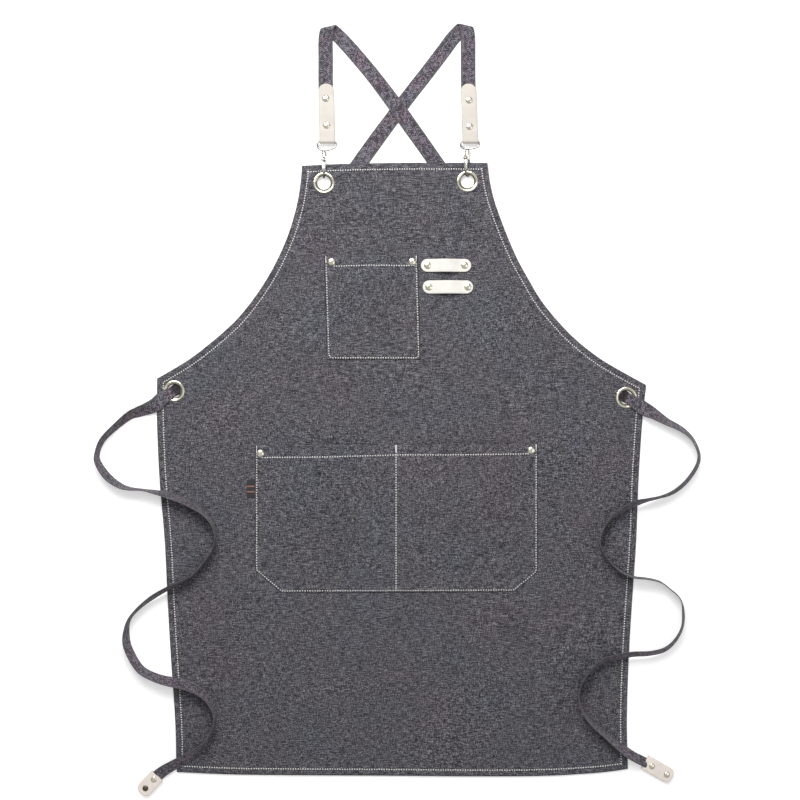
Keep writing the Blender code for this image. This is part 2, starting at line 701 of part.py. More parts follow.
RIGHT_RUN = [
    lie(458.5, 31, 0, 0), lie(443.3, 51, 0, 0), lie(427.2, 72.2, 0, 0), lie(411.6, 92.1, 0, 0), lie(400.9, 106.1, 0, 0),
    lie(390.9, 120.4, 0, 0), lie(376.4, 140.6, 0, 0), lie(360.8, 162.4, 0, 0), lie(347, 182, 0, 0), lie(331, 207, 0, 0),
    lie(317, 232, 0, 0), lie(304, 256, 0, 0), lie(289, 284, 0, 0), lie(271, 314, 0, 0), lie(250, 339, 0, 0),
    lie(228, 359, 0, 0), lie(209, 372.5, 0, 0, 0.95), lie(196, 378.6, 0, 0, 0.75), lie(184.9, 384.1, 0, 0, 0.54),
    lie(179.1, 387.8, 0, 0.25, 0.5), lie(174.0, 391.0, 0, 2.6, 0.5), lie(169.2, 394.0, 0, 4.75, 0.5),
    lie(165.1, 396.6, 0, 5.1, 0.58), lie(161.8, 398.8, 3, 5.0, 0.7),
]
LEFT_TIE = [
    lie(155.5, 405, 14, 4.0, 0.9), lie(147, 409, 36, 2.0), lie(138.5, 412, 46, 0), lie(130, 415.5, 58, 0), lie(117, 426, 68, 0),
    lie(103.4, 439.6, 74, 0), lie(98, 453, 78, 0), lie(98.7, 462.4, 72, 0), lie(107.4, 475.8, 66, 0), lie(119.5, 485, 72, 0),
    lie(130, 488.5, 80, 0), lie(143.6, 489.6, 86, 1.4), lie(159.6, 492.5, 74, 3.3), lie(173, 496, 66, 3.3), lie(189, 502.6, 68, 3.3),
    lie(203.8, 512, 76, 3.3), lie(213.2, 524, 84, 3.3), lie(216, 536, 88, 3.3), lie(213, 549.5, 88, 3.3), lie(203.8, 563, 86, 3.3),
    lie(194.5, 573.7, 86, 3.3), lie(184, 580, 84, 3.3), lie(170.3, 586.8, 74, 3.3), lie(153.5, 596.7, 72, 2.0), lie(138, 609, 80, 0),
    lie(129, 621, 82, 0), lie(126.7, 638, 68, 0), lie(130.5, 652, 64, 0), lie(141, 668.7, 64, 0), lie(156.5, 677, 62, 1.6),
    lie(171.8, 681, 56, 3.3), lie(187, 684, 52, 3.3), lie(201, 691, 64, 3.3), lie(210, 701, 78, 3.3), lie(215.5, 714.6, 84, 3.3),
    lie(214, 727, 82, 3.3), lie(207, 740.6, 74, 3.3), lie(196.3, 751.3, 52, 3.3), lie(184, 759, 38, 3.3), lie(173.5, 764.4, 26, 3.3),
    lie(165.5, 768.6, 12, 2.9), lie(159.3, 773.2, 2, 2.3),
]


def turn_at(points, i):
    """Change of direction at a station, in radians."""
    if i <= 0 or i >= len(points) - 1:
        return 0.0
    a = Vector(points[i][:3]) - Vector(points[i - 1][:3])
    b = Vector(points[i + 1][:3]) - Vector(points[i][:3])
    return a.angle(b)


def webbing(name, stations, lean):
    """A flat strap swept along its stations; its caps are filled."""
    rows = []
    for i in range(len(stations) - 1):
        bend = max(turn_at(stations, i), turn_at(stations, i + 1))
        near = [stations[max(i - 1, 0)], stations[i], stations[i + 1], stations[min(i + 2, len(stations) - 1)]]
        rows.append(stations[i])
        if bend > 0.24:
            b0, b1, b2, b3 = near
            rows.append(tuple(0.5 * (q + r) + (q + r - p - t) / 16 for p, q, r, t in zip(b0, b1, b2, b3)))
    rows.append(stations[-1])
    curve = bpy.data.curves.new(name, "CURVE")
    curve.dimensions = "3D"
    curve.twist_mode = "Z_UP"
    curve.extrude = WEB_WIDTH / 2 - WEB_THICK / 2
    curve.bevel_depth = WEB_THICK / 2
    curve.bevel_resolution = 0
    curve.use_fill_caps = True
    curve.resolution_u = 1
    spline = curve.splines.new("POLY")
    spline.points.add(len(rows) - 1)
    for point, (x, y, z, roll, width) in zip(spline.points, rows):
        point.co = (x, y, z, 1.0)
        point.tilt = lean * (math.pi / 2 - roll)
        point.radius = width
    obj = bpy.data.objects.new(name + "_sweep", curve)
    cutters.objects.link(obj)
    bpy.context.view_layer.update()
    return as_mesh(obj, name, WEB_MAT)


webbing("strap_left", LEFT_RUN + RIGHT_TIE, 1)
webbing("strap_right", RIGHT_RUN + LEFT_TIE, 1)

# front plies: from the fold down into the leather tabs
for side, sign in (("left", 1), ("right", -1)):
    mid = PLY_U[side]
    w = WEB_WIDTH / 2 / GRID
    top = [(mid - w * sign, 32.0), (mid + w * sign, 26.4)]
    ply = outline_plate(
        f"strap_front_{side}",
        [[at(*p).xy for p in (top[0], (mid - w * sign, 134.0), (mid + w * sign, 134.0), top[1])]],
        -WEB_THICK / 2,
        WEB_THICK / 2,
        WEB_MAT,
    )
    slice_rows(ply, [at(0, v).y for v in (60, 66, 70, 75, 80, 84, 95, 120)], 1)
    raise_by(ply, lambda x, y: front_ply(V0 - y / GRID))
    ply = punch(ply, TAB_RIVETS[side], RIVET_SHAFT_R + 0.4 * MM)


# ---------------------------------------------------------------- tie ends
def tie_end(name, start, end, rivets, under=0.0):
    """A leather sleeve riveted over a tie's end, with a rounded tip."""
    a, b = at(*start), at(*end)
    along = (b - a).normalized()
    across = Vector((-along.y, along.x, 0))
    h = WEB_WIDTH / 2 + 0.4 * MM
    out = [a - across * h]
    tip = b - along * h * 0.55
    out += [tip + along * h * 0.55 * math.sin(t) - across * h * math.cos(t) for t in span(0.0, math.pi, 8)]
    out += [a + across * h]
    plate = outline_plate(name, [[p.xy for p in out]], under + 1.1 * MM, under + 4.9 * MM, LEATHER_MAT)
    places = []
    for fraction in rivets:
        p = a + (b - a) * fraction
        places.append((U0 + p.x / GRID, V0 - p.y / GRID))
    plate = punch(plate, places, RIVET_SHAFT_R + GAP)
    for i, place in enumerate(places):
        rivet(f"{name}_rivet_{i + 1}", place, under + 1.1 * MM, under + 4.9 * MM, cap=3.6 * MM, back=2.8 * MM)
    return plate


tie_end("tie_end_left", (157.6, 775.4), (141.0, 792.8), (0.22, 0.72))
tie_end("tie_end_right", (644.6, 761.9), (672.0, 777.5), (0.26, 0.8))

for obj in parts.objects:
    if obj.name.startswith(("eyelet", "washer", "rivet", "snap", "swivel", "gate_pin", "tie_end_left_r", "tie_end_right_r")):
        obj.data.shade_smooth()
        obj.data.set_sharp_from_angle(angle=math.radians(35))
    centre = sum((Vector(c) for c in obj.bound_box), Vector()) / 8
    if obj.name.startswith(("snap_hook", "hook_gate", "gate_")):
        side = "left" if obj.name.endswith("left") else "right"
        centre = at(*HOOKS[side], STEM_Z)
        if not obj.name.startswith("snap_hook"):
            c = Vector((0, Y_PIVOT, LEG))
            c.rotate(Matrix.Rotation(HOOK_REST[side], 3, "Y"))
            centre = centre + c
    obj.data.transform(Matrix.Translation(-centre))
    obj.location = centre
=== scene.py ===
"""Looks of the cross-back work apron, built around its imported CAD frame."""

import math

import bpy
import numpy as np
from mathutils import Matrix, Vector


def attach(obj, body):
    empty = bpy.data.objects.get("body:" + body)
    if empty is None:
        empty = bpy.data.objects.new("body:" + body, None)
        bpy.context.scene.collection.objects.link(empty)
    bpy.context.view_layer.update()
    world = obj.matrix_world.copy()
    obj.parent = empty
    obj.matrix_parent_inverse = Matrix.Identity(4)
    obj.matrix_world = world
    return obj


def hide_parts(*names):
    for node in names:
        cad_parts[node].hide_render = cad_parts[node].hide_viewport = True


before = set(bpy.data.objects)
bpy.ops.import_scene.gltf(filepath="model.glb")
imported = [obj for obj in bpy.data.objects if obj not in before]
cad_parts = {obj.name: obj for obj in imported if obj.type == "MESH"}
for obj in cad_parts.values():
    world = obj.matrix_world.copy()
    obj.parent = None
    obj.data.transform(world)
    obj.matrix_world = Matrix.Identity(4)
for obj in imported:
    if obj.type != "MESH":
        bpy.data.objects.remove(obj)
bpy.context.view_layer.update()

MM = 0.001
GRID = 0.00124
U0, V0 = 401.7, 429.9
rng = np.random.default_rng(7)


def X(u):
    return (u - U0) * GRID


def Y(v):
    return (V0 - v) * GRID


# =====================================================================
# materials
# =====================================================================
class Nodes:
    """Short hand for building a node tree."""

    def __init__(self, name):
        self.mat = bpy.data.materials.new(name)
        self.mat.use_nodes = True
        self.tree = self.mat.node_tree
        self.shader = self.tree.nodes["Principled BSDF"]

    def new(self, kind, **values):
        node = self.tree.nodes.new(kind)
        for key, value in values.items():
            if key.startswith("in_"):
                node.inputs[key[3:]].default_value = value
            else:
                setattr(node, key, value)
        return node

    def link(self, a, b):
        self.tree.links.new(a, b)

    def math(self, operation, a, b=None, c=None):
        node = self.tree.nodes.new("ShaderNodeMath")
        node.operation = operation
        for slot, value in zip(node.inputs, (a, b, c)):
            if value is None:
                continue
            if isinstance(value, (int, float)):
                slot.default_value = value
            else:
                self.link(value, slot)
        return node.outputs[0]

    def mix(self, factor, a, b, blend="MIX"):
        node = self.tree.nodes.new("ShaderNodeMix")
        node.data_type = "RGBA"
        node.blend_type = blend
        for slot, value in ((node.inputs[0], factor), (node.inputs[6], a), (node.inputs[7], b)):
            if isinstance(value, (int, float)):
                slot.default_value = value
            elif isinstance(value, tuple):
                slot.default_value = (*value, 1.0)
            else:
                self.link(value, slot)
        return node.outputs[2]

    def noise(self, vector, scale, detail=2.0, rough=0.5):
        node = self.new("ShaderNodeTexNoise")
        node.inputs["Scale"].default_value = scale
        node.inputs["Detail"].default_value = detail
        node.inputs["Roughness"].default_value = rough
        self.link(vector, node.inputs["Vector"])
        return node.outputs["Fac"]

    def stretch(self, vector, sx, sy, sz):
        node = self.new("ShaderNodeMapping")
        node.inputs["Scale"].default_value = (sx, sy, sz)
        self.link(vector, node.inputs["Vector"])
        return node.outputs["Vector"]

    def ramp(self, factor, stops):
        node = self.new("ShaderNodeValToRGB")
        ramp = node.color_ramp
        while len(ramp.elements) < len(stops):
            ramp.elements.new(0.5)
        for element, (place, colour) in zip(ramp.elements, stops):
            element.position = place
            element.color = (*colour, 1.0)
        self.link(factor, node.inputs["Fac"])
        return node.outputs["Color"]

    def bump(self, height, strength, distance, normal=None):
        node = self.new("ShaderNodeBump")
        node.inputs["Strength"].default_value = strength
        node.inputs["Distance"].default_value = distance
        self.link(height, node.inputs["Height"])
        if normal is not None:
            self.link(normal, node.inputs["Normal"])
        return node.outputs["Normal"]

    def set(self, **values):
        for key, value in values.items():
            slot = self.shader.inputs[key.replace("_", " ")]
            if isinstance(value, (int, float)):
                slot.default_value = value
            elif isinstance(value, tuple):
                slot.default_value = (*value, 1.0) if slot.type == "RGBA" else value
            else:
                self.link(value, slot)


def canvas_material(name, tone):
    """Plain-woven heathered canvas: yarn weave in the bump, mottled yarns in the colour."""
    n = Nodes(name)
    here = n.new("ShaderNodeTexCoord").outputs["Object"]
    axes = n.new("ShaderNodeSeparateXYZ")
    n.link(here, axes.inputs[0])
    pitch = 0.00095
    wx = n.math("SINE", n.math("MULTIPLY", axes.outputs[0], 2 * math.pi / pitch))
    wy = n.math("SINE", n.math("MULTIPLY", axes.outputs[1], 2 * math.pi / pitch))
    weave = n.math("MULTIPLY", wx, wy)
    warp = n.noise(n.stretch(here, 1.0, 0.16, 1.0), 980.0, 1.0, 0.6)
    weft = n.noise(n.stretch(here, 0.13, 1.0, 1.0), 980.0, 1.0, 0.6)
    speck = n.noise(here, 1050.0, 1.0, 0.6)
    cloud = n.noise(here, 11.0, 2.0, 0.5)
    yarn = n.math("ADD", n.math("MULTIPLY", warp, 0.4), n.math("MULTIPLY", weft, 0.6))
    value = n.math("ADD", n.math("MULTIPLY", yarn, 0.5), n.math("MULTIPLY", speck, 0.5))
    dark = tuple(c * 0.14 for c in tone)
    light = tuple(c * 3.3 for c in tone)
    colour = n.ramp(value, [(0.395, dark), (0.472, tuple(c * 0.6 for c in tone)), (0.528, tuple(c * 1.13 for c in tone)), (0.622, light)])
    tint = n.ramp(cloud, [(0.36, (0.965, 1.0, 1.025)), (0.5, (1.0, 1.0, 0.99)), (0.64, (1.035, 0.985, 1.01))])
    colour = n.mix(1.0, colour, tint, "MULTIPLY")
    # painted shade where an edge meets the cloth under it
    tuck = n.new("ShaderNodeAttribute", attribute_name="tuck").outputs["Fac"]
    colour = n.mix(n.math("MULTIPLY", tuck, 0.92), colour, (0.006, 0.006, 0.007))
    height = n.math("ADD", n.math("MULTIPLY", weave, 0.5), n.math("MULTIPLY", value, 1.4))
    fuzz = n.noise(here, 60.0, 3.0, 0.6)
    rough = n.math("ADD", n.math("MULTIPLY", fuzz, 0.12), 0.84)
    n.set(Base_Color=colour, Roughness=rough, Normal=n.bump(height, 0.55, 0.00022))
    n.set(Sheen_Weight=0.12, Sheen_Roughness=0.5, Specular_IOR_Level=0.2)
    return n.mat


def webbing_material(name, tone):
    """Herringbone webbing; strap_uv holds metres across and along the strap."""
    n = Nodes(name)
    uv = n.new("ShaderNodeAttribute", attribute_name="strap_uv").outputs["Vector"]
    axes = n.new("ShaderNodeSeparateXYZ")
    n.link(uv, axes.inputs[0])
    across = n.math("PINGPONG", axes.outputs[0], 0.0045)
    line = n.math("ADD", axes.outputs[1], n.math("MULTIPLY", across, 0.75))
    twill = n.math("SINE", n.math("MULTIPLY", line, 2 * math.pi / 0.0027))
    rib = n.math("SINE", n.math("MULTIPLY", axes.outputs[0], 2 * math.pi / 0.00075))
    grain = n.noise(n.stretch(uv, 1.0, 0.8, 1.0), 470.0, 1.0, 0.6)
    cloud = n.noise(uv, 34.0, 2.0, 0.5)
    tuck = n.new("ShaderNodeAttribute", attribute_name="tuck").outputs["Fac"]
    value = n.math("ADD", n.math("MULTIPLY", twill, 0.11), grain)
    dark = tuple(c * 0.36 for c in tone)
    light = tuple(c * 2.2 for c in tone)
    colour = n.ramp(value, [(0.35, dark), (0.46, tuple(c * 0.7 for c in tone)), (0.55, tuple(c * 1.18 for c in tone)), (0.68, light)])
    tint = n.ramp(cloud, [(0.38, (0.94, 0.995, 1.02)), (0.62, (1.08, 0.97, 1.03))])
    colour = n.mix(1.0, colour, tint, "MULTIPLY")
    # the woven selvedge is tighter and greyer
    edge = n.math("SMOOTH_MIN", n.math("MULTIPLY", n.math("MAXIMUM", n.math("SUBTRACT", n.math("ABSOLUTE", axes.outputs[0]), 0.0066), 0.0), 900.0), 1.0, 0.1)
    grey = sum(tone) / 3
    colour = n.mix(n.math("MULTIPLY", edge, 0.6), colour, (grey * 0.98, grey, grey * 1.0))
    # painted shade where the strap lies low inside an eyelet, under the panel
    colour = n.mix(n.math("MULTIPLY", tuck, 0.8), colour, (0.008, 0.007, 0.006))
    height = n.math("ADD", n.math("MULTIPLY", twill, 0.6), n.math("ADD", n.math("MULTIPLY", rib, 0.25), grain))
    n.set(Base_Color=colour, Roughness=0.82, Normal=n.bump(height, 0.6, 0.00025))
    n.set(Sheen_Weight=0.1, Sheen_Roughness=0.5, Specular_IOR_Level=0.22)
    return n.mat


def leather_material(name, tone, edge_tone):
    """Vegetable-tanned pale leather: pebbled grain, faint stains, darker cut edges."""
    n = Nodes(name)
    here = n.new("ShaderNodeTexCoord").outputs["Object"]
    edge = n.new("ShaderNodeAttribute", attribute_name="cut_edge").outputs["Fac"]
    cell = n.new("ShaderNodeTexVoronoi", feature="SMOOTH_F1")
    cell.inputs["Scale"].default_value = 900.0
    n.link(here, cell.inputs["Vector"])
    pores = n.noise(here, 1900.0, 2.0, 0.6)
    cloud = n.noise(here, 55.0, 3.0, 0.55)
    stain = n.noise(here, 190.0, 3.0, 0.6)
    colour = n.ramp(cloud, [(0.3, tuple(c * 0.94 for c in tone)), (0.7, tuple(min(c * 1.05, 1.0) for c in tone))])
    spots = n.ramp(stain, [(0.35, (0.96, 0.94, 0.91)), (0.6, (1.0, 1.0, 1.0))])
    colour = n.mix(0.7, colour, spots, "MULTIPLY")
    colour = n.mix(n.math("MULTIPLY", edge, 0.75), colour, edge_tone)
    height = n.math("ADD", n.math("MULTIPLY", cell.outputs["Distance"], 0.8), n.math("MULTIPLY", pores, 0.35))
    rough = n.math("ADD", n.math("MULTIPLY", stain, 0.18), 0.42)
    n.set(Base_Color=colour, Roughness=rough, Normal=n.bump(height, 0.35, 0.00018))
    n.set(Specular_IOR_Level=0.4, Coat_Weight=0.06, Coat_Roughness=0.3)
    return n.mat


def metal_material(name, tone, rough, scratch=0.12, painted_shade_tone=(0.07, 0.062, 0.03)):
    """Plated metal with fine handling marks."""
    n = Nodes(name)
    here = n.new("ShaderNodeTexCoord").outputs["Object"]
    marks = n.noise(n.stretch(here, 1.0, 0.12, 1.0), 2600.0, 3.0, 0.7)
    cloud = n.noise(here, 240.0, 3.0, 0.5)
    colour = n.ramp(cloud, [(0.3, tuple(c * 0.92 for c in tone)), (0.7, tuple(min(c * 1.06, 1.0) for c in tone))])
    # painted shade: a per-point attribute darkens the sides and hollows towards a dark tone
    recess = n.new("ShaderNodeAttribute", attribute_name="recess").outputs["Fac"]
    colour = n.mix(n.math("MULTIPLY", recess, 0.9), colour, painted_shade_tone)
    amount = n.math("ADD", n.math("MULTIPLY", n.math("ADD", marks, cloud), scratch), rough - scratch)
    n.set(Base_Color=colour, Roughness=amount, Metallic=1.0)
    n.set(Normal=n.bump(marks, 0.08, 0.0001))
    return n.mat


def thread_material(name, tone):
    n = Nodes(name)
    here = n.new("ShaderNodeTexCoord").outputs["Object"]
    twist = n.noise(here, 3200.0, 2.0, 0.6)
    colour = n.ramp(twist, [(0.35, tuple(c * 0.72 for c in tone)), (0.65, tone)])
    n.set(Base_Color=colour, Roughness=0.7, Normal=n.bump(twist, 0.4, 0.0001), Specular_IOR_Level=0.25)
    return n.mat


def label_material(name):
    """Woven charcoal tape with two thin muted lines; strap_uv gives its own metres."""
    n = Nodes(name)
    uv = n.new("ShaderNodeAttribute", attribute_name="strap_uv").outputs["Vector"]
    axes = n.new("ShaderNodeSeparateXYZ")
    n.link(uv, axes.inputs[0])
    rib = n.math("SINE", n.math("MULTIPLY", axes.outputs[1], 2 * math.pi / 0.0007))
    grain = n.noise(uv, 1800.0, 2.0, 0.6)
    base = n.ramp(grain, [(0.3, (0.014, 0.015, 0.017)), (0.7, (0.04, 0.042, 0.046))])
    line = n.math("LESS_THAN", n.math("ABSOLUTE", n.math("SUBTRACT", n.math("ABSOLUTE", axes.outputs[1]), 0.0034)), 0.0008)
    colour = n.mix(line, base, (0.30, 0.13, 0.08))
    n.set(Base_Color=colour, Roughness=0.75, Normal=n.bump(n.math("ADD", rib, grain), 0.5, 0.0002))
    return n.mat


CANVAS = canvas_material("canvas_heather", (0.086, 0.083, 0.0945))
WEBBING = webbing_material("webbing_herringbone", (0.104, 0.093, 0.108))
LEATHER = leather_material("leather_cream", (0.575, 0.535, 0.485), (0.36, 0.27, 0.19))
LEATHER_TIE = leather_material("leather_tie", (0.86, 0.79, 0.735), (0.5, 0.40, 0.30))
LEATHER_PALE = leather_material("leather_pale", (0.78, 0.77, 0.72), (0.44, 0.35, 0.25))
GOLD = metal_material("pale_gold_plate", (0.90, 0.865, 0.70), 0.17)
CHROME = metal_material("dark_nickel_plate", (0.55, 0.54, 0.50), 0.16, painted_shade_tone=(0.03, 0.03, 0.026))
NICKEL = metal_material("pale_nickel_plate", (0.88, 0.86, 0.79), 0.14)
STEEL = metal_material("spring_wire", (0.58, 0.59, 0.61), 0.34)
DARK = metal_material("dark_rivet", (0.16, 0.13, 0.10), 0.36)
THREAD = thread_material("thread_offwhite", (0.93, 0.92, 0.88))
LABEL = label_material("woven_label")


# =====================================================================
# mesh helpers
# =====================================================================
def piece(name, verts, faces, mat, body="root", slot=None, smooth=True, angle=None, attributes=None):
    mesh = bpy.data.meshes.new(name)
    mesh.from_pydata([tuple(map(float, p)) for p in verts], [], faces)
    mesh.validate()
    mesh.update()
    if smooth:
        mesh.shade_smooth()
    if angle:
        mesh.set_sharp_from_angle(angle=math.radians(angle))
    for key, (kind, values) in (attributes or {}).items():
        attribute = mesh.attributes.new(key, kind, "POINT")
        attribute.data.foreach_set("vector" if kind == "FLOAT_VECTOR" else "value", np.asarray(values, np.float32).ravel())
    obj = bpy.data.objects.new(name, mesh)
    bpy.context.scene.collection.objects.link(obj)
    mesh.materials.append(mat)
    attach(obj, body)
    return obj


def darken_sides(obj, steep=0.62, soft=0.25, strength=1.0):
    """Painted shade on the sides: a per-point attribute from how far each point leans away from facing up, at rest."""
    mesh = obj.data
    normals = np.empty(len(mesh.vertices) * 3, np.float32)
    mesh.vertices.foreach_get("normal", normals)
    nz = normals.reshape(-1, 3)[:, 2]
    value = np.clip((steep - nz) / soft, 0, 1) * strength
    attribute = mesh.attributes.new("recess", "FLOAT", "POINT")
    attribute.data.foreach_set("value", value.astype(np.float32))


def loops_mesh(loops, cyclic=False, caps=True):
    """Verts and faces of a skin through equal closed loops of points."""
    count, size = len(loops), len(loops[0])
    verts = [p for loop in loops for p in loop]
    faces = []
    for i in range(count if cyclic else count - 1):
        a, b = i * size, ((i + 1) % count) * size
        for k in range(size):
            m = (k + 1) % size
            faces.append((a + k, a + m, b + m, b + k))
    if caps and not cyclic:
        faces.append(tuple(range(size))[::-1])
        faces.append(tuple(range((count - 1) * size, count * size)))
    return verts, faces


def frames_along(points, up=(0.0, 0.0, 1.0), cyclic=False):
    """Unit tangents, and two unit normals at each point, the first nearest to up."""
    p = np.asarray(points, float)
    if cyclic:
        t = np.roll(p, -1, 0) - np.roll(p, 1, 0)
    else:
        t = np.gradient(p, axis=0)
    t /= np.linalg.norm(t, axis=1)[:, None]
    n = np.zeros_like(t)
    last = np.asarray(up, float)
    for i in range(len(t)):
        a = last - (last @ t[i]) * t[i]
        n[i] = a / np.linalg.norm(a)
        last = n[i]
    return t, n, np.cross(t, n)


def tube(name, points, radius, mat, body="root", slot=None, sides=14, cyclic=False, flat=1.0, up=(0.0, 0.0, 1.0), round_ends=True):
    """A round or flattened wire: flat widens it across the up direction."""
    p = np.asarray(points, float)
    t, n, b = frames_along(p, up, cyclic)
    radii = np.full(len(p), radius) if np.isscalar(radius) else np.asarray(radius, float)
    loops = []

    def ring(c, nn, bb, r):
        return [c + (nn * math.cos(a) + bb * math.sin(a) * flat) * r for a in np.linspace(0, 2 * math.pi, sides, endpoint=False)]

    if round_ends and not cyclic:
        for a in (80, 55, 28):
            loops.append(ring(p[0] - t[0] * radii[0] * math.sin(math.radians(a)) * 0.9, n[0], b[0], radii[0] * math.cos(math.radians(a))))
    for i in range(len(p)):
        loops.append(ring(p[i], n[i], b[i], radii[i]))
    if round_ends and not cyclic:
        for a in (28, 55, 80):
            loops.append(ring(p[-1] + t[-1] * radii[-1] * math.sin(math.radians(a)) * 0.9, n[-1], b[-1], radii[-1] * math.cos(math.radians(a))))
    verts, faces = loops_mesh(loops, cyclic)
    return piece(name, verts, faces, mat, body, slot, angle=50)


def lathe(profile, centre, steps, ring=False):
    """Verts and faces of a turned form; profile runs (radius, height)."""
    verts, faces = [], []
    rows = []
    for r, z in profile:
        if r < 1e-9:
            rows.append([len(verts)])
            verts.append((centre[0], centre[1], centre[2] + z))
            continue
        row = []
        for k in range(steps):
            a = 2 * math.pi * k / steps
            row.append(len(verts))
            verts.append((centre[0] + r * math.cos(a), centre[1] + r * math.sin(a), centre[2] + z))
        rows.append(row)
    pairs = list(zip(rows, rows[1:])) + ([(rows[-1], rows[0])] if ring else [])
    for a, b in pairs:
        for k in range(steps):
            m = (k + 1) % steps
            if len(a) == 1:
                faces.append((a[0], b[k], b[m]))
            elif len(b) == 1:
                faces.append((a[k], b[0], a[m]))
            else:
                faces.append((a[k], b[k], b[m], a[m]))
    return verts, faces


def catmull(points, steps):
    """Points through rows of equal length, some to each stretch."""
    p = np.asarray(points, float)
    p = np.vstack([p[:1], p, p[-1:]])
    made = []
    for i in range(1, len(p) - 2):
        a, b, c, d = p[i - 1 : i + 3]
        for k in range(steps):
            t = k / steps
            made.append(0.5 * (2 * b + (c - a) * t + (2 * a - 5 * b + 4 * c - d) * t * t + (3 * b - a - 3 * c + d) * t**3))
    made.append(p[-2])
    return np.array(made)


def resample(points, spacing):
    """The polyline again, at even steps of about the given length."""
    p = np.asarray(points, float)
    run = np.concatenate([[0], np.cumsum(np.linalg.norm(np.diff(p[:, :3], axis=0), axis=1))])
    count = max(int(round(run[-1] / spacing)), 2)
    want = np.linspace(0, run[-1], count + 1)
    return np.stack([np.interp(want, run, p[:, k]) for k in range(p.shape[1])], axis=1)


def smooth(t):
    t = np.clip(t, 0.0, 1.0)
    return t * t * (3 - 2 * t)


# =====================================================================
# canvas panel
# =====================================================================
LEFT_ARM = [(302, 166), (301, 180), (298, 200), (293, 220), (286, 240), (277, 260), (266, 280), (252.5, 300), (236, 320), (214, 340), (188, 360), (157, 378.5)]
LEFT_SIDE = [(157, 378.5), (156.8, 420), (159.5, 480), (164.5, 540), (167.5, 600), (171, 660), (175.0, 720), (176.2, 764), (177.0, 772.3)]
BOTTOM = [(177.0, 772.3), (230, 774.6), (290, 775.4), (400, 776.0), (470, 776.6), (540, 776.2), (590, 773.6), (614, 771.2), (628.0, 769.0)]
RIGHT_SIDE = [(628.0, 769.0), (627.0, 720), (628.8, 660), (632.3, 600), (636.3, 540), (638.6, 480), (642.5, 420), (646.4, 385)]
RIGHT_ARM = [(646.4, 385), (604, 361), (576.5, 340), (557, 320), (541, 300), (529, 280), (518, 260), (509, 240), (501, 220), (494, 200), (489.5, 180), (487.5, 163)]
TOP = [(487.5, 163), (440, 162.9), (395, 163.1), (345, 164), (302, 166)]

left_edge = np.vstack([catmull(LEFT_ARM, 12)[:-1], catmull(LEFT_SIDE, 12)])
right_edge = np.vstack([catmull(RIGHT_SIDE, 12)[:-1], catmull(RIGHT_ARM, 12)])[::-1]
bottom_edge = catmull(BOTTOM, 20)
top_edge = catmull(TOP, 10)[::-1]
rim = np.vstack([left_edge[:-1], bottom_edge[:-1], right_edge[::-1][:-1], top_edge[::-1][:-1]])

HOOKS = {"left": (324.0, 183.1), "right": (467.3, 181.6)}
WAIST = {"left": (174.0, 391.0), "right": (626.3, 397.5)}
POCKET_RIVETS = {"chest_left": (331.5, 262.1), "chest_right": (412.2, 261.8), "lower_left": (260.4, 453.5), "lower_right": (531.2, 450.4)}
LOOP_RIVETS = {"upper_left": (427.6, 265.5), "upper_right": (464.5, 265.3), "lower_left": (428.8, 287.0), "lower_right": (467.7, 287.0)}


def rim_distance(u, v):
    """Distance in metres from plan points to the panel's rim."""
    p = np.stack([u, v], -1).reshape(-1, 2) * GRID
    a = rim * GRID
    b = np.roll(a, -1, 0)
    best = np.full(len(p), 1e9)
    for q, r in zip(a, b):
        d = r - q
        t = np.clip(((p - q) @ d) / max(d @ d, 1e-18), 0, 1)
        best = np.minimum(best, np.linalg.norm(p - q - t[:, None] * d, axis=1))
    return best.reshape(np.shape(u))


def lift(v):
    return 3.4 * MM * smooth((250.0 - v) / 48.0)


waves = [(rng.uniform(8, 30), rng.uniform(0, math.pi), rng.uniform(0, 6.28), rng.uniform(0.5, 1.0)) for _ in range(14)]
creases = [(470, 640, 0.35, 26), (330, 690, -0.2, 34), (560, 520, 1.2, 30), (240, 640, 1.0, 36), (395, 395, 0.1, 40), (300, 330, 0.6, 30), (520, 700, -0.5, 30)]


def ripple(u, v):
    """Low waves and a few faint creases of the cloth, in metres, none near the fittings."""
    x, y = (u - U0) * GRID, (V0 - v) * GRID
    total = np.zeros_like(x)
    for k, angle, phase, size in waves:
        total += size * np.sin(2 * math.pi * k * 0.28 * (x * math.cos(angle) + y * math.sin(angle)) + phase)
    total *= 0.085 * MM
    for cu, cv, angle, length in creases:
        a = (u - cu) * math.cos(angle) + (v - cv) * math.sin(angle)
        b = -(u - cu) * math.sin(angle) + (v - cv) * math.cos(angle)
        total += 0.5 * MM * np.exp(-((b / 5.0) ** 2)) * np.exp(-((a / length) ** 2))
    calm = np.ones_like(x)
    for cu, cv in list(HOOKS.values()) + list(WAIST.values()):
        calm *= 1 - np.exp(-(((u - cu) ** 2 + (v - cv) ** 2) / 18.0**2))
    for cu, cv in list(POCKET_RIVETS.values()) + list(LOOP_RIVETS.values()):
        calm *= 1 - np.exp(-(((u - cu) ** 2 + (v - cv) ** 2) / 9.0**2))
    return total * calm


def pucker(u, v, d, line, amount=0.16 * MM):
    """The sunken seam at distance line from an edge, with the small pulls of each stitch."""
    x, y = (u - U0) * GRID, (V0 - v) * GRID
    pull = 0.5 + 0.5 * np.sin((x + y) * 2 * math.pi / 0.0125 + 3 * np.sin((x - y) * 40))
    return -(amount * (0.7 + 0.6 * pull)) * np.exp(-(((d - line) / (0.9 * MM)) ** 2))


def cloth_top(u, v, d=None):
    """Height of the canvas' front face."""
    if d is None:
        d = rim_distance(u, v)
    z = 3.0 * MM + lift(v) + ripple(u, v)
    z = z + pucker(u, v, d, 8.0 * MM)
    z = z + 0.12 * MM * np.exp(-(((d - 4.2 * MM) / (2.6 * MM)) ** 2))
    return z - 1.1 * MM * np.exp(-((d / (0.75 * MM)) ** 1.5))


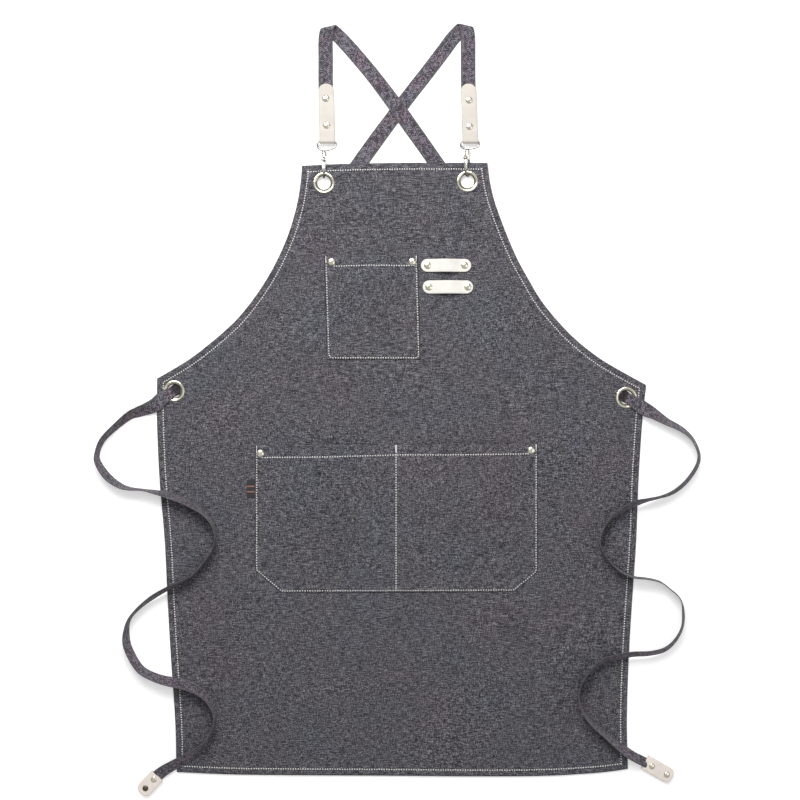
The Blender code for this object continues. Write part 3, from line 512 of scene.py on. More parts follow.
def sheet_mesh(u, v, top, low, keep):
    """A closed sheet over a grid: top and low heights, keep masks the cells that stay."""
    rows, cols = u.shape
    x, y = X(u), Y(v)
    flat = lambda z: np.stack([x, y, z], -1).reshape(-1, 3)
    verts = np.vstack([flat(top), flat(low)])
    n = rows * cols
    faces, sides = [], {}
    for i in range(rows - 1):
        for j in range(cols - 1):
            if not keep[i, j]:
                continue
            a, b, c, d = i * cols + j, i * cols + j + 1, (i + 1) * cols + j + 1, (i + 1) * cols + j
            # rows run down the page, so this order faces up
            faces.append((a, d, c, b))
            faces.append((a + n, b + n, c + n, d + n))
            for p, q in ((a, d), (d, c), (c, b), (b, a)):
                if (q, p) in sides:
                    del sides[(q, p)]
                else:
                    sides[(p, q)] = True
    for p, q in sides:
        faces.append((q, p, p + n, q + n))
    used = np.unique(np.array([k for f in faces for k in f]))
    index = np.full(len(verts), -1)
    index[used] = np.arange(len(used))
    return verts[used], [tuple(int(index[k]) for k in f) for f in faces], used


def build_panel():
    near = [0.0, 0.35, 0.8, 1.5, 2.5, 3.6, 4.8, 6.0, 6.9, 7.6, 8.3, 9.1, 10.2, 12.0, 14.5, 18.0]
    inner = 104
    # rows, closer at both ends and round the waist corners
    marks = []
    v = 0.0
    total = 612.0
    stops = [k / 1.24 for k in near]
    marks += stops
    v = stops[-1]
    while v < total - stops[-1]:
        step = 1.55 if 150 < v < 245 else (2.1 if v < 40 else 4.2)
        v += step
        marks.append(v)
    marks = [m for m in marks if m < total - stops[-1] - 1.0] + [total - s for s in reversed(stops)]
    t = np.array(marks) / total
    s_mid = np.linspace(0, 1, inner)
    share = lambda edge: (edge[:, 0] - edge[0, 0]) / (edge[-1, 0] - edge[0, 0])

    def spread(edge):
        """Where the grid's columns meet a top or bottom edge, as shares of its width."""
        o = np.array(near) / 1.24 / (edge[-1, 0] - edge[0, 0])
        return np.concatenate([o, o[-1] + (1 - 2 * o[-1]) * s_mid[1:-1], 1 - o[::-1]])

    U, V, = [], []
    for k, tt in enumerate(t):
        width = 400.0
        s_guess = np.concatenate([np.array(near) / 1240 * 2, s_mid[1:-1], 1 - np.array(near)[::-1] / 1240 * 2])
        vt = np.interp(spread(top_edge), share(top_edge), top_edge[:, 1])
        vb = np.interp(spread(bottom_edge), share(bottom_edge), bottom_edge[:, 1])
        vv = vt * (1 - tt) + vb * tt
        ul = np.interp(vv, left_edge[:, 1], left_edge[:, 0])
        ur = np.interp(vv, right_edge[:, 1], right_edge[:, 0])
        m = len(near)
        uu = np.empty(len(s_guess))
        off = np.array(near) / 1.24
        slope = 1.0
        uu[:m] = ul[:m] + off * slope
        uu[-m:] = ur[-m:] - off[::-1] * slope
        span_l = ul + off[-1]
        span_r = ur - off[-1]
        mid = s_mid[1:-1]
        uu[m:-m] = span_l[m:-m] + (span_r - span_l)[m:-m] * mid
        U.append(uu)
        V.append(vv)
    U, V = np.array(U), np.array(V)
    d = rim_distance(U, V)
    d[0, :] = d[-1, :] = 0
    d[:, 0] = d[:, -1] = 0
    top = cloth_top(U, V, d)
    ring = smooth((9.2 * MM - d) / (1.0 * MM))
    low_slab = top - 0.85 * MM
    low_hem = lift(V) + 0.15 * MM + 1.0 * MM * np.exp(-((d / (0.75 * MM)) ** 1.5))
    low = low_slab * (1 - ring) + low_hem * ring
    low = np.minimum(low, top - 0.5 * MM)
    keep = np.ones((U.shape[0] - 1, U.shape[1] - 1), bool)
    cu = (U[:-1, :-1] + U[1:, 1:]) / 2
    cv = (V[:-1, :-1] + V[1:, 1:]) / 2
    for hu, hv in list(HOOKS.values()) + list(WAIST.values()):
        keep &= np.hypot(cu - hu, cv - hv) * GRID > 9.9 * MM
    verts, faces, used = sheet_mesh(U, V, top, low, keep)
    return piece("apron_cloth", verts, faces, CANVAS, slot="canvas", angle=60)


panel = build_panel()
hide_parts("apron_panel")

# =====================================================================
# stitches
# =====================================================================
stitch_verts, stitch_faces = [], []


def add_stitch(a, b, width=0.42 * MM, rise=0.30 * MM, sides=6):
    """One thread length from a to b, arched over the cloth and diving in at both ends."""
    a, b = np.asarray(a, float), np.asarray(b, float)
    along = b - a
    length = np.linalg.norm(along)
    along /= length
    side = np.cross(along, (0, 0, 1.0))
    side /= np.linalg.norm(side)
    up = np.cross(side, along)
    base = len(stitch_verts)
    rows = [(0.0, -0.55, 0.55), (0.14, 0.25, 0.95), (0.5, 0.75, 1.0), (0.86, 0.25, 0.95), (1.0, -0.55, 0.55)]
    for t, h, r in rows:
        c = a + along * length * t + up * rise * h
        for k in range(sides):
            w = 2 * math.pi * k / sides
            stitch_verts.append(c + (side * math.cos(w) * 1.35 + up * math.sin(w) * 0.85) * width * r)
    for i in range(len(rows) - 1):
        for k in range(sides):
            m = (k + 1) % sides
            p = base + i * sides
            stitch_faces.append((p + k, p + m, p + sides + m, p + sides + k))
    stitch_faces.append(tuple(base + k for k in range(sides))[::-1])
    stitch_faces.append(tuple(base + (len(rows) - 1) * sides + k for k in range(sides)))


def sew(path, height, pitch=3.05 * MM, fill=0.54, jitter=0.09, width=0.58 * MM):
    """Stitches along plan points (u, v) on a surface given by height(u, v)."""
    p = resample(np.asarray(path, float), pitch / GRID)
    for a, b in zip(p, p[1:]):
        a, b = a + rng.normal(0, jitter, 2), b + rng.normal(0, jitter, 2)
        m = a + (b - a) * fill
        za, zm = height(np.array([a[0], m[0]]), np.array([a[1], m[1]]))
        add_stitch((X(a[0]), Y(a[1]), za), (X(m[0]), Y(m[1]), zm), width=width * rng.uniform(0.9, 1.1))


def inset(points, distance, closed=True):
    """Plan points moved inwards by a distance in metres (the rim runs anticlockwise in plan)."""
    p = np.asarray(points, float)
    n = len(p)
    made = []
    for i in range(n):
        a = p[i] - p[i - 1]
        b = p[(i + 1) % n] - p[i]
        a, b = a / np.linalg.norm(a), b / np.linalg.norm(b)
        # v runs down, so inwards is to the other side than in plan
        na, nb = np.array((a[1], -a[0])), np.array((b[1], -b[0]))
        m = na + nb
        m /= np.linalg.norm(m)
        made.append(p[i] + m * (distance / GRID) / max(m @ na, 0.3))
    return np.array(made)


hem_line = inset(resample(np.vstack([rim, rim[:1]]), 4.0)[:-1], 8.0 * MM)
hem_line = np.vstack([hem_line, hem_line[:1]])
sew(hem_line, lambda u, v: cloth_top(u, v) + 0.1 * MM)


# =====================================================================
# pockets
# =====================================================================
def swell(t, edge):
    s = np.clip((t - edge) / (1 - 2 * edge), 0.0, 1.0)
    return np.sin(math.pi * s) ** 1.2


def polygon_inside(u, v, poly):
    inside = np.zeros(np.shape(u), bool)
    n = len(poly)
    for i in range(n):
        (x1, y1), (x2, y2) = poly[i], poly[(i + 1) % n]
        if y1 == y2:
            continue
        hit = ((y1 > v) != (y2 > v)) & (u < (x2 - x1) * (v - y1) / (y2 - y1) + x1)
        inside ^= hit
    return inside


def edge_distance(u, v, poly, skip=()):
    p = np.stack([u, v], -1).reshape(-1, 2) * GRID
    best = np.full(len(p), 1e9)
    q = np.asarray(poly, float) * GRID
    for i in range(len(q)):
        if i in skip:
            continue
        a, b = q[i], q[(i + 1) % len(q)]
        d = b - a
        t = np.clip(((p - a) @ d) / (d @ d), 0, 1)
        best = np.minimum(best, np.linalg.norm(p - a - t[:, None] * d, axis=1))
    return best.reshape(np.shape(u))


def pocket_height(spec):
    def height(u, v):
        """Front face of the pocket cloth."""
        depth = (v - spec["mouth"]) / (spec["foot"] - spec["mouth"])
        shift = spec["lean"] * depth
        h = np.zeros_like(np.asarray(u, float))
        for (a, b), top in zip(spec["cells"], spec["heights"]):
            h = h + np.where((u - shift >= a) & (u - shift <= b), top * swell((u - shift - a) / (b - a), spec["edge"]), 0.0)
        h = h * (1 - smooth((depth - 0.25) / 0.65))
        base = 3.0 * MM + lift(v) + ripple(u, v)
        # soft hollows in the standing cloth
        x, y = (u - U0) * GRID, (V0 - v) * GRID
        slack = 0.25 * MM * np.sin(x * 95 + 2.1 * np.sin(y * 31)) * np.clip(h / (4 * MM), 0, 1)
        return base + h + slack + 0.95 * MM

    return height


def build_pocket(name, spec):
    poly = spec["outline"]
    us = np.array([p[0] for p in poly])
    vs = np.array([p[1] for p in poly])
    height = pocket_height(spec)
    # grid lines, closer to the edges, mouth hem and centre seam
    fine = [0.0, 0.25, 0.6, 1.1, 1.7, 2.4, 3.2, 4.4, 6.0, 8.0]

    def lines(a, b, step, extra=()):
        made = set(np.round(np.arange(a + 8.0, b - 8.0, step), 3))
        made |= {round(a + f, 3) for f in fine} | {round(b - f, 3) for f in fine}
        for e in extra:
            made |= {round(e + f, 3) for f in (-2.0, -1.2, -0.6, 0.0, 0.6, 1.2, 2.0)}
        made = sorted(made)
        kept = [made[0]]
        for m in made[1:]:
            if m - kept[-1] > 0.18:
                kept.append(m)
        return np.array(kept)

    lu = lines(0.0, spec["width"], 2.6, spec.get("seams", ()))
    lv = lines(0.0, spec["foot"] - spec["mouth"], 2.6, (spec["hem"],))
    S, T = np.meshgrid(lu, lv)
    v = spec["mouth"] + T
    left = spec["left"](v)
    right = spec["right"](v)
    u = left + (right - left) * S / spec["width"]
    if "clip" in spec:
        # the clipped lower corners: pull the grid in along the foot
        u, v = spec["clip"](u, v, S, T)
    d = edge_distance(u, v, poly, skip=spec["mouth_sides"])
    dm = T * GRID
    z = height(u, v)
    z = z + 0.45 * MM * smooth((7.5 * MM - d) / (2.0 * MM))
    z = z + pucker(u, v, d, spec["seam_in"], 0.3 * MM)
    z = z - 0.75 * MM * np.exp(-((d / (0.5 * MM)) ** 1.5))
    hem = smooth((spec["hem"] * GRID - dm) / (0.8 * MM) + 0.5)
    z = z + 0.35 * MM * hem - 0.16 * MM * np.exp(-(((dm - spec["hem"] * GRID) / (0.8 * MM)) ** 2))
    z = z - 0.45 * MM * np.exp(-((dm / (0.5 * MM)) ** 1.5))
    for seam in spec.get("seams", ()):
        z = z - 0.35 * MM * np.exp(-(((S - seam) * GRID / (0.9 * MM)) ** 2))
    low = height(u, v) - 0.9 * MM + 0.12 * MM
    low = low + 0.3 * MM * np.exp(-((dm / (0.5 * MM)) ** 1.5)) - 0.35 * MM * hem * np.clip((height(u, v) - base_top(u, v)) / (3 * MM) - 0.4, 0, 1)
    low = np.minimum(low, z - 0.35 * MM)
    keep = np.ones((u.shape[0] - 1, u.shape[1] - 1), bool)
    verts, faces, used = sheet_mesh(u, v, z, low, keep)
    # the folded edge rolls out and under; its border gets painted shade, full on the lower ring and light on the top
    # ring
    rows, cols = u.shape
    n = rows * cols
    plan = np.stack([X(u), Y(v)], -1)
    out = np.zeros_like(plan)
    out[:, 0] += plan[:, 0] - plan[:, 1]
    out[:, -1] += plan[:, -1] - plan[:, -2]
    out[-1, :] += plan[-1, :] - plan[-2, :]
    size = np.linalg.norm(out, axis=2, keepdims=True)
    out = np.where(size > 0, out / np.maximum(size, 1e-9), 0.0) * 0.75 * MM
    tuck = np.zeros(2 * n)
    ring = np.zeros((rows, cols))
    ring[:, 0] = ring[:, -1] = ring[-1, :] = ring[0, :] = 1.0
    tuck[:n] = 0.3 * ring.ravel()
    tuck[n:] = ring.ravel()
    shift = np.zeros((2 * n, 3))
    shift[n:, :2] = out.reshape(-1, 2)
    obj = piece(name, verts + shift[used], faces, CANVAS, slot="canvas", angle=60, attributes={"tuck": ("FLOAT", tuck[used])})
    return obj, height


def base_top(u, v):
    return 3.0 * MM + lift(v) + ripple(u, v)


CHEST = dict(
    outline=[(324.6, 255.6), (327.6, 359.2), (420.0, 359.2), (417.4, 255.4)],
    mouth=255.4, foot=359.4, width=92.6, hem=10.8, lean=2.8, edge=0.135,
    cells=[(324.0, 418.0)], heights=[9.5 * MM], seam_in=1.7 * MM, mouth_sides=(3,),
    left=lambda v: 324.6 + (v - 255.4) * 0.028, right=lambda v: 417.4 + (v - 255.4) * 0.0255,
)
LOWER = dict(
    outline=[(255.4, 445.4), (255.4, 570.4), (281.2, 592.7), (514.2, 591.7), (537.4, 572.3), (537.4, 443.5)],
    mouth=444.6, foot=592.6, width=282.0, hem=11.2, lean=0.0, edge=0.085,
    cells=[(254.8, 396.1), (396.1, 538.0)], heights=[10.5 * MM, 10.5 * MM], seam_in=1.7 * MM, mouth_sides=(5,),
    seams=(140.7,),
    left=lambda v: 255.4 + 0 * v, right=lambda v: 537.4 + 0 * v,
)


def clip_corners(u, v, S, T):
    """Draws the grid's lower corners in to the clipped outline and tilts its foot."""
    left_cut = np.clip((v - 570.4) / (592.6 - 570.4), 0, 1) * 25.8
    right_cut = np.clip((v - 572.0) / (592.6 - 572.0), 0, 1) * 23.2
    f = S / 282.0
    nu = u + left_cut * (1 - f) ** 1.0 * (f < 0.5) * np.clip(1 - f / 0.5, 0, 1) ** 0 * (1 - 2 * f).clip(0, 1)
    nu = nu - right_cut * (2 * f - 1).clip(0, 1)
    nv = v + (-0.95 * f + 0.1) * np.clip(T / 148.0, 0, 1) + (0.8 - 1.9 * f) * (1 - np.clip(T / 148.0, 0, 1)) * 0.8
    return nu, nv


LOWER["clip"] = clip_corners

chest, chest_height = build_pocket("chest_pocket_cloth", CHEST)
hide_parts("chest_pocket")
lower, lower_height = build_pocket("lower_pocket_cloth", LOWER)
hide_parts("lower_pocket")

# pocket seams
s_in = 1.35
over = lambda height, extra: (lambda u, v: height(u, v) + extra)
sew([(324.6 + s_in, 257.0), (327.6 + s_in, 356.0), (329.8 + s_in, 359.2 - s_in), (417.8 - s_in, 359.2 - s_in), (420.0 - s_in, 356.5), (417.4 - s_in, 257.0)], over(chest_height, 0.02 * MM), pitch=3.12 * MM)
sew([(333.5, 266.2), (416.0, 265.6)], over(chest_height, 0.3 * MM), pitch=3.12 * MM)
sew([(255.4 + s_in, 446.5), (255.4 + s_in, 569.9), (281.7, 592.2 - s_in), (513.6, 591.2 - s_in), (537.4 - s_in, 571.6), (537.4 - s_in, 445.0)], over(lower_height, 0.02 * MM), pitch=3.12 * MM)
sew([(262.0, 457.6), (330.0, 456.6), (396.0, 455.0), (465.0, 454.6), (530.0, 453.8)], over(lower_height, 0.3 * MM), pitch=3.12 * MM)
sew([(396.1, 446.5), (396.1, 590.0)], over(lower_height, -0.02 * MM), pitch=3.12 * MM)


def bartack(u, v0, v1, height):
    """Dense satin bar that locks a seam's end."""
    steps = int((v1 - v0) / 0.42)
    for k in range(steps):
        v = v0 + (v1 - v0) * k / steps
        a, b = (u - 0.75, v), (u + 0.75, v + 0.3)
        za, zb = height(np.array([a[0], b[0]]), np.array([a[1], b[1]]))
        add_stitch((X(a[0]), Y(a[1]), za + 0.2 * MM), (X(b[0]), Y(b[1]), zb + 0.2 * MM), width=0.3 * MM, rise=0.35 * MM)


for u, v0, v1, h in (
    (325.9, 256.2, 262.5, chest_height), (416.2, 255.9, 262.0, chest_height),
    (256.8, 446.2, 453.0, lower_height), (396.1, 445.2, 452.2, lower_height), (536.0, 444.4, 451.0, lower_height),
):
    bartack(u, v0, v1, h)

stitches = piece("topstitch_threads", stitch_verts, stitch_faces, THREAD, slot="canvas")

# =====================================================================
# woven side label
# =====================================================================
def build_label():
    """A folded tape: its loop stands out of the pocket seam."""
    rows, cols = 26, 15
    verts, uvs, faces = [], [], []
    loops = []
    half = 9.0 * 1.24 * MM
    cx, cy = X(251.0), Y(489.0)
    outer, inner = X(246.7), X(254.6)
    for j in range(rows):
        t = -1 + 2 * j / (rows - 1)
        y = cy + half * t
        loop = []
        profile = []
        for k in range(9):
            f = k / 8
            profile.append((inner + (outer + 0.5 * MM - inner) * f, 4.15 * MM - 0.25 * MM * f))
        for k in range(1, 6):
            a = math.pi * k / 6
            profile.append((outer + 0.5 * MM - 0.42 * MM * math.sin(a), 3.62 * MM + 0.28 * MM * math.cos(a)))
        for k in range(9):
            f = 1 - k / 8
            profile.append((inner + (outer + 0.5 * MM - inner) * f, 3.34 * MM))
        for x, z in profile:
            zz = z + 0.10 * MM * math.sin(t * 5 + x * 900) - 0.18 * MM * max(abs(t) - 0.92, 0) / 0.08
            loop.append((x, y, zz))
            uvs.append((x, half * t, 0))
        loops.append(loop)
    verts, faces = loops_mesh(loops)
    return piece("woven_side_label", verts, faces, LABEL, slot="label", angle=55, attributes={"strap_uv": ("FLOAT_VECTOR", uvs)})


label = build_label()
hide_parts("side_label")


# =====================================================================
# metal fittings: eyelets and rivets
# =====================================================================
def eyelet(name, place, base, node, washer):
    """A rolled brass eyelet: domed flange, throat and the washer behind the cloth."""
    c = (X(place[0]), Y(place[1]), 0.0)
    face = (3.0 + 0.12) * MM + base
    # the third value of each profile point is painted shade: dark at the flange's outer edge and down the throat
    profile, shade = [], []

    def add(r, z, dark):
        profile.append((r * MM, z))
        shade.append(dark)

    add(13.25, face, 1.0)
    add(13.22, face + 0.3 * MM, 0.9)
    for a in np.linspace(0.35, math.pi - 0.55, 13):
        add(11.75 + 1.52 * math.cos(a), face + 1.18 * MM * math.sin(a) ** 0.8, 0.0)
    for r, z, dark in ((10.1, 0.55, 0.35), (9.7, 0.36, 0.75), (9.2, 0.2, 0.9), (8.8, -0.05, 0.95), (8.5, -0.5, 1.0), (8.35, -1.0, 1.0), (8.3, -1.5, 0.8)):
        add(r, face + z * MM, dark)
    add(8.3, base + 1.62 * MM, 0.7)
    add(8.85, base + 1.62 * MM, 0.7)
    add(8.9, face - 0.02 * MM, 0.7)
    verts, faces = lathe(profile, c, 72, ring=True)
    obj = piece(name, verts, faces, GOLD, slot="pale_metal", angle=60, attributes={"recess": ("FLOAT", np.repeat(shade, 72))})
    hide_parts(node)
    under = 2.2 * MM + base
    ringp = [(12.3 * MM, under - 0.3 * MM), (12.3 * MM, under - 0.5 * MM), (11.9 * MM, under - 0.62 * MM), (9.6 * MM, under - 0.62 * MM), (9.2 * MM, under - 0.5 * MM), (9.2 * MM, under - 0.3 * MM)]
    verts, faces = lathe(ringp, c, 64, ring=True)
    back = piece(name + "_washer", verts, faces, GOLD, slot="pale_metal", angle=40)
    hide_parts(washer)
    return obj


for side in ("left", "right"):
    eyelet(f"eyelet_ring_upper_{side}", HOOKS[side], 3.4 * MM, f"eyelet_upper_{side}", f"washer_upper_{side}")
    eyelet(f"eyelet_ring_waist_{side}", WAIST[side], 0.0, f"eyelet_waist_{side}", f"washer_waist_{side}")


def rivet(name, place, under, over, node, cap=4.4 * MM, back=3.3 * MM, mat=GOLD, slot="pale_metal"):
    c = (X(place[0]), Y(place[1]), 0.0)
    profile = [(0.0, over + 1.75 * MM)]
    for a in np.linspace(0.12, math.pi / 2, 9):
        profile.append((cap * 0.86 * math.sin(a), over + 0.72 * MM + 1.03 * MM * math.cos(a)))
    profile += [(cap * 0.93, over + 0.62 * MM), (cap * 0.985, over + 0.5 * MM), (cap, over + 0.3 * MM), (cap * 0.98, over + 0.12 * MM), (cap * 0.93, over + 0.05 * MM)]
    profile += [(1.4 * MM, over + 0.05 * MM), (1.4 * MM, under - 0.3 * MM), (back, under - 0.3 * MM), (back, under - 0.75 * MM), (back * 0.9, under - 0.9 * MM), (0.0, under - 0.9 * MM)]
    verts, faces = lathe(profile, c, 40)
    obj = piece(name, verts, faces, mat, slot=slot, angle=50)
    # painted shade on the rivet's sides
    darken_sides(obj, 0.6, 0.3, 0.85)
    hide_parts(node)
    return obj


for key, place in POCKET_RIVETS.items():
    rivet(f"pocket_rivet_{key}", place, 2.2 * MM, 4.45 * MM, f"rivet_pocket_{key}")
for key, place in LOOP_RIVETS.items():
    rivet(f"loop_rivet_{key}", place, 2.2 * MM, 5.0 * MM, f"rivet_loop_{key}")


# =====================================================================
# leather tool loops
# =====================================================================
def tool_loop(name, u0, v0, u1, v1, ends, node):
    r = (v1 - v0) / 2
    vm = (v0 + v1) / 2
    a, b = ends[0][0] + 4.2, ends[1][0] - 4.2
    us = [0.0]
    x = 0.0
    for f in (0.06, 0.2, 0.45, 0.8, 1.25, 1.8, 2.5, 3.4, 4.4, 5.4, 6.4, 7.4):
        us.append(f)
    n_mid = 44
    us += list(np.linspace(8.2, (u1 - u0) - 8.2, n_mid))
    us += [(u1 - u0) - f for f in (7.4, 6.4, 5.4, 4.4, 3.4, 2.5, 1.8, 1.25, 0.8, 0.45, 0.2, 0.06, 0.0)]
    us = np.array(us) + u0
    loops, edges = [], []
    across = np.array([-1, -0.985, -0.95, -0.88, -0.7, -0.4, 0.0, 0.4, 0.7, 0.88, 0.95, 0.985, 1])
    for u in us:
        e = min(u - u0, u1 - u)
        half = r if e >= r else math.sqrt(max(r * r - (r - e) ** 2, 0.0))
        half = max(half, 0.25)
        h = 4.2 * MM * float(swell(np.array((u - a) / (b - a)), 0.0)) if a < u < b else 0.0
        loop = []
        for s in across:
            d = (1 - abs(s)) * half * GRID + 0.0
            de = min(d, e * GRID)
            round_off = 0.42 * MM * math.exp(-((de / (0.4 * MM)) ** 1.4))
            loop.append((X(u), Y(vm + s * half), 3.15 * MM + h + 1.85 * MM - round_off))
            edges.append(math.exp(-((de / (0.35 * MM)) ** 1.5)))
        for s in across[::-1]:
            d = (1 - abs(s)) * half * GRID
            de = min(d, e * GRID)
            loop.append((X(u), Y(vm + s * half), 3.15 * MM + h + 0.25 * MM * math.exp(-((de / (0.4 * MM)) ** 1.4))))
            edges.append(math.exp(-((de / (0.35 * MM)) ** 1.5)))
        loops.append(loop)
    verts, faces = loops_mesh(loops)
    obj = piece(name, verts, faces, LEATHER_PALE, slot="leather", angle=60, attributes={"cut_edge": ("FLOAT", edges)})
    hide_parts(node)
    return obj


tool_loop("leather_loop_upper", 420.9, 258.9, 471.2, 272.0, [LOOP_RIVETS["upper_left"], LOOP_RIVETS["upper_right"]], "tool_loop_upper")
tool_loop("leather_loop_lower", 422.6, 280.4, 473.1, 293.7, [LOOP_RIVETS["lower_left"], LOOP_RIVETS["lower_right"]], "tool_loop_lower")

# =====================================================================
# leather strap tabs
# =====================================================================
STEM_Z = 6.8 * MM
BAR_V, TAB_V0 = 141.5, 84.0
TAB_U = {"left": 326.7, "right": 469.6}
WRAP_R = 2.3 * MM
TAB_RIVETS = {"left": ((325.9, 98.9), (326.9, 126.1)), "right": ((468.9, 100.6), (469.5, 127.3))}


def tab_under(v):
    return 2.0 * MM + (STEM_Z - WRAP_R - 2.0 * MM) * min(max((v - TAB_V0) / (BAR_V - TAB_V0), 0.0), 1.0)


def tab_over(v):
    return 5.5 * MM + (STEM_Z + WRAP_R - 5.5 * MM) * min(max((v - TAB_V0) / (BAR_V - TAB_V0), 0.0), 1.0)


def strap_tab(side):
    cu = TAB_U[side]

    def lean(y):
        """The tab hangs a little askew: u across it as it goes down."""
        f = (V0 - y / GRID - TAB_V0) / 60.0
        return (-0.5 + 1.2 * f) if side == "left" else (-1.2 + 1.9 * f)

    line = []
    ends = [0.0, 0.08, 0.25, 0.5, 0.9, 1.4, 2.0, 2.8, 3.7, 4.8, 6.0, 7.3]
    vs = [TAB_V0 + e for e in ends] + list(np.linspace(TAB_V0 + 10, BAR_V, 22))
    for v in vs:
        line.append((Y(v), tab_under(v), v - TAB_V0))
    for a in np.linspace(0, math.pi, 17)[1:-1]:
        line.append((Y(BAR_V) - WRAP_R * math.sin(a), STEM_Z - WRAP_R * math.cos(a), 99.0))
    for v in vs[::-1]:
        # a slight swelling of the upper ply over the webbing's end
        bulge = 0.35 * MM * math.exp(-(((v - 131.0) / 4.0) ** 2)) - 0.25 * MM * sum(
            math.exp(-(((v - r[1]) / 4.2) ** 2)) for r in TAB_RIVETS[side]
        )
        line.append((Y(v), tab_over(v) + bulge, v - TAB_V0))
    p = np.array(line)
    d = np.gradient(p[:, :2], axis=0)
    d /= np.linalg.norm(d, axis=1)[:, None]
    normal = np.stack([-d[:, 1], d[:, 0]], 1)  # towards the inside of the fold
    across = np.array([-1, -0.99, -0.96, -0.9, -0.75, -0.45, 0, 0.45, 0.75, 0.9, 0.96, 0.99, 1])
    loops, edges = [], []
    R = 7.0
    for i, (y, z, e) in enumerate(p):
        half = 7.75 if e >= R else 7.75 * math.sqrt(max(1 - ((R - e) / R) ** 2, 0.0))
        half = max(half, 0.3) * GRID
        loop = []
        for s in across:
            de = min((1 - abs(s)) * half, e * GRID)
            o = 0.8 * MM - 0.32 * MM * math.exp(-((de / (0.35 * MM)) ** 1.4))
            loop.append((X(cu + lean(y)) + s * half, y - normal[i, 0] * o, z - normal[i, 1] * o))
            edges.append(math.exp(-((de / (0.35 * MM)) ** 1.5)))
        for s in across[::-1]:
            de = min((1 - abs(s)) * half, e * GRID)
            o = 0.8 * MM - 0.32 * MM * math.exp(-((de / (0.35 * MM)) ** 1.4))
            loop.append((X(cu + lean(y)) + s * half, y + normal[i, 0] * o, z + normal[i, 1] * o))
            edges.append(math.exp(-((de / (0.35 * MM)) ** 1.5)))
        loops.append(loop)
    verts, faces = loops_mesh(loops)
    obj = piece(f"leather_tab_{side}", verts, faces, LEATHER, slot="leather", angle=60, attributes={"cut_edge": ("FLOAT", edges)})
    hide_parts(f"strap_tab_{side}")
    for end, place in zip(("top", "bottom"), TAB_RIVETS[side]):
        rivet(
            f"tab_rivet_{side}_{end}",
            place,
            tab_under(place[1]) - 0.8 * MM - 0.2 * MM,
            tab_over(place[1]) + 0.8 * MM + 0.0 * MM,
            f"rivet_tab_{side}_{end}",
            cap=4.3 * MM,
            back=3.2 * MM,
        )


for side in ("left", "right"):
    strap_tab(side)

# =====================================================================
# swivel eyes, snap hooks and gates
# =====================================================================
HOOK_REST = {"left": 0.0, "right": math.radians(-24.0)}
LEG = 5.5 * MM
Y_BARREL_TOP, Y_BARREL_LOW = 38.0 * MM, 31.0 * MM
Y_PIVOT, Y_NOSE, Y_U = 28.4 * MM, 14.2 * MM, 11.5 * MM


def turn_about_stem(obj, side):
    c = Vector((X(HOOKS[side][0]), Y(HOOKS[side][1]), STEM_Z))
    obj.data.transform(Matrix.Translation(c) @ Matrix.Rotation(HOOK_REST[side], 4, "Y") @ Matrix.Translation(-c))


def lathe_y(profile, centre, steps=40, ring=False):
    """A form turned about Y: profile runs (radius, y)."""
    verts, faces = lathe(profile, (0, 0, 0), steps, ring)
    # z of the turned form becomes y, keeping its handedness
    verts = [(centre[0] - v[0], centre[1] + v[2], centre[2] + v[1]) for v in verts]
    return verts, faces


def rounded_box(low, high, bevel):
    """Verts and faces of a box with bevelled edges."""
    import bmesh

    bm = bmesh.new()
    bmesh.ops.create_cube(bm, size=1.0)
    low, high = Vector(low), Vector(high)
    bmesh.ops.transform(bm, verts=bm.verts, matrix=Matrix.Translation((low + high) / 2) @ Matrix.Diagonal((*(high - low), 1.0)))
    bmesh.ops.bevel(bm, geom=list(bm.edges) + list(bm.verts), offset=bevel, segments=3, affect="EDGES", profile=0.5)
    verts = [tuple(v.co) for v in bm.verts]
    faces = [tuple(v.index for v in f.verts) for f in bm.faces]
    bm.free()
    return verts, faces


def join(parts):
    verts, faces = [], []
    for v, f in parts:
        base = len(verts)
        verts += list(v)
        faces += [tuple(base + k for k in face) for face in f]
    return verts, faces


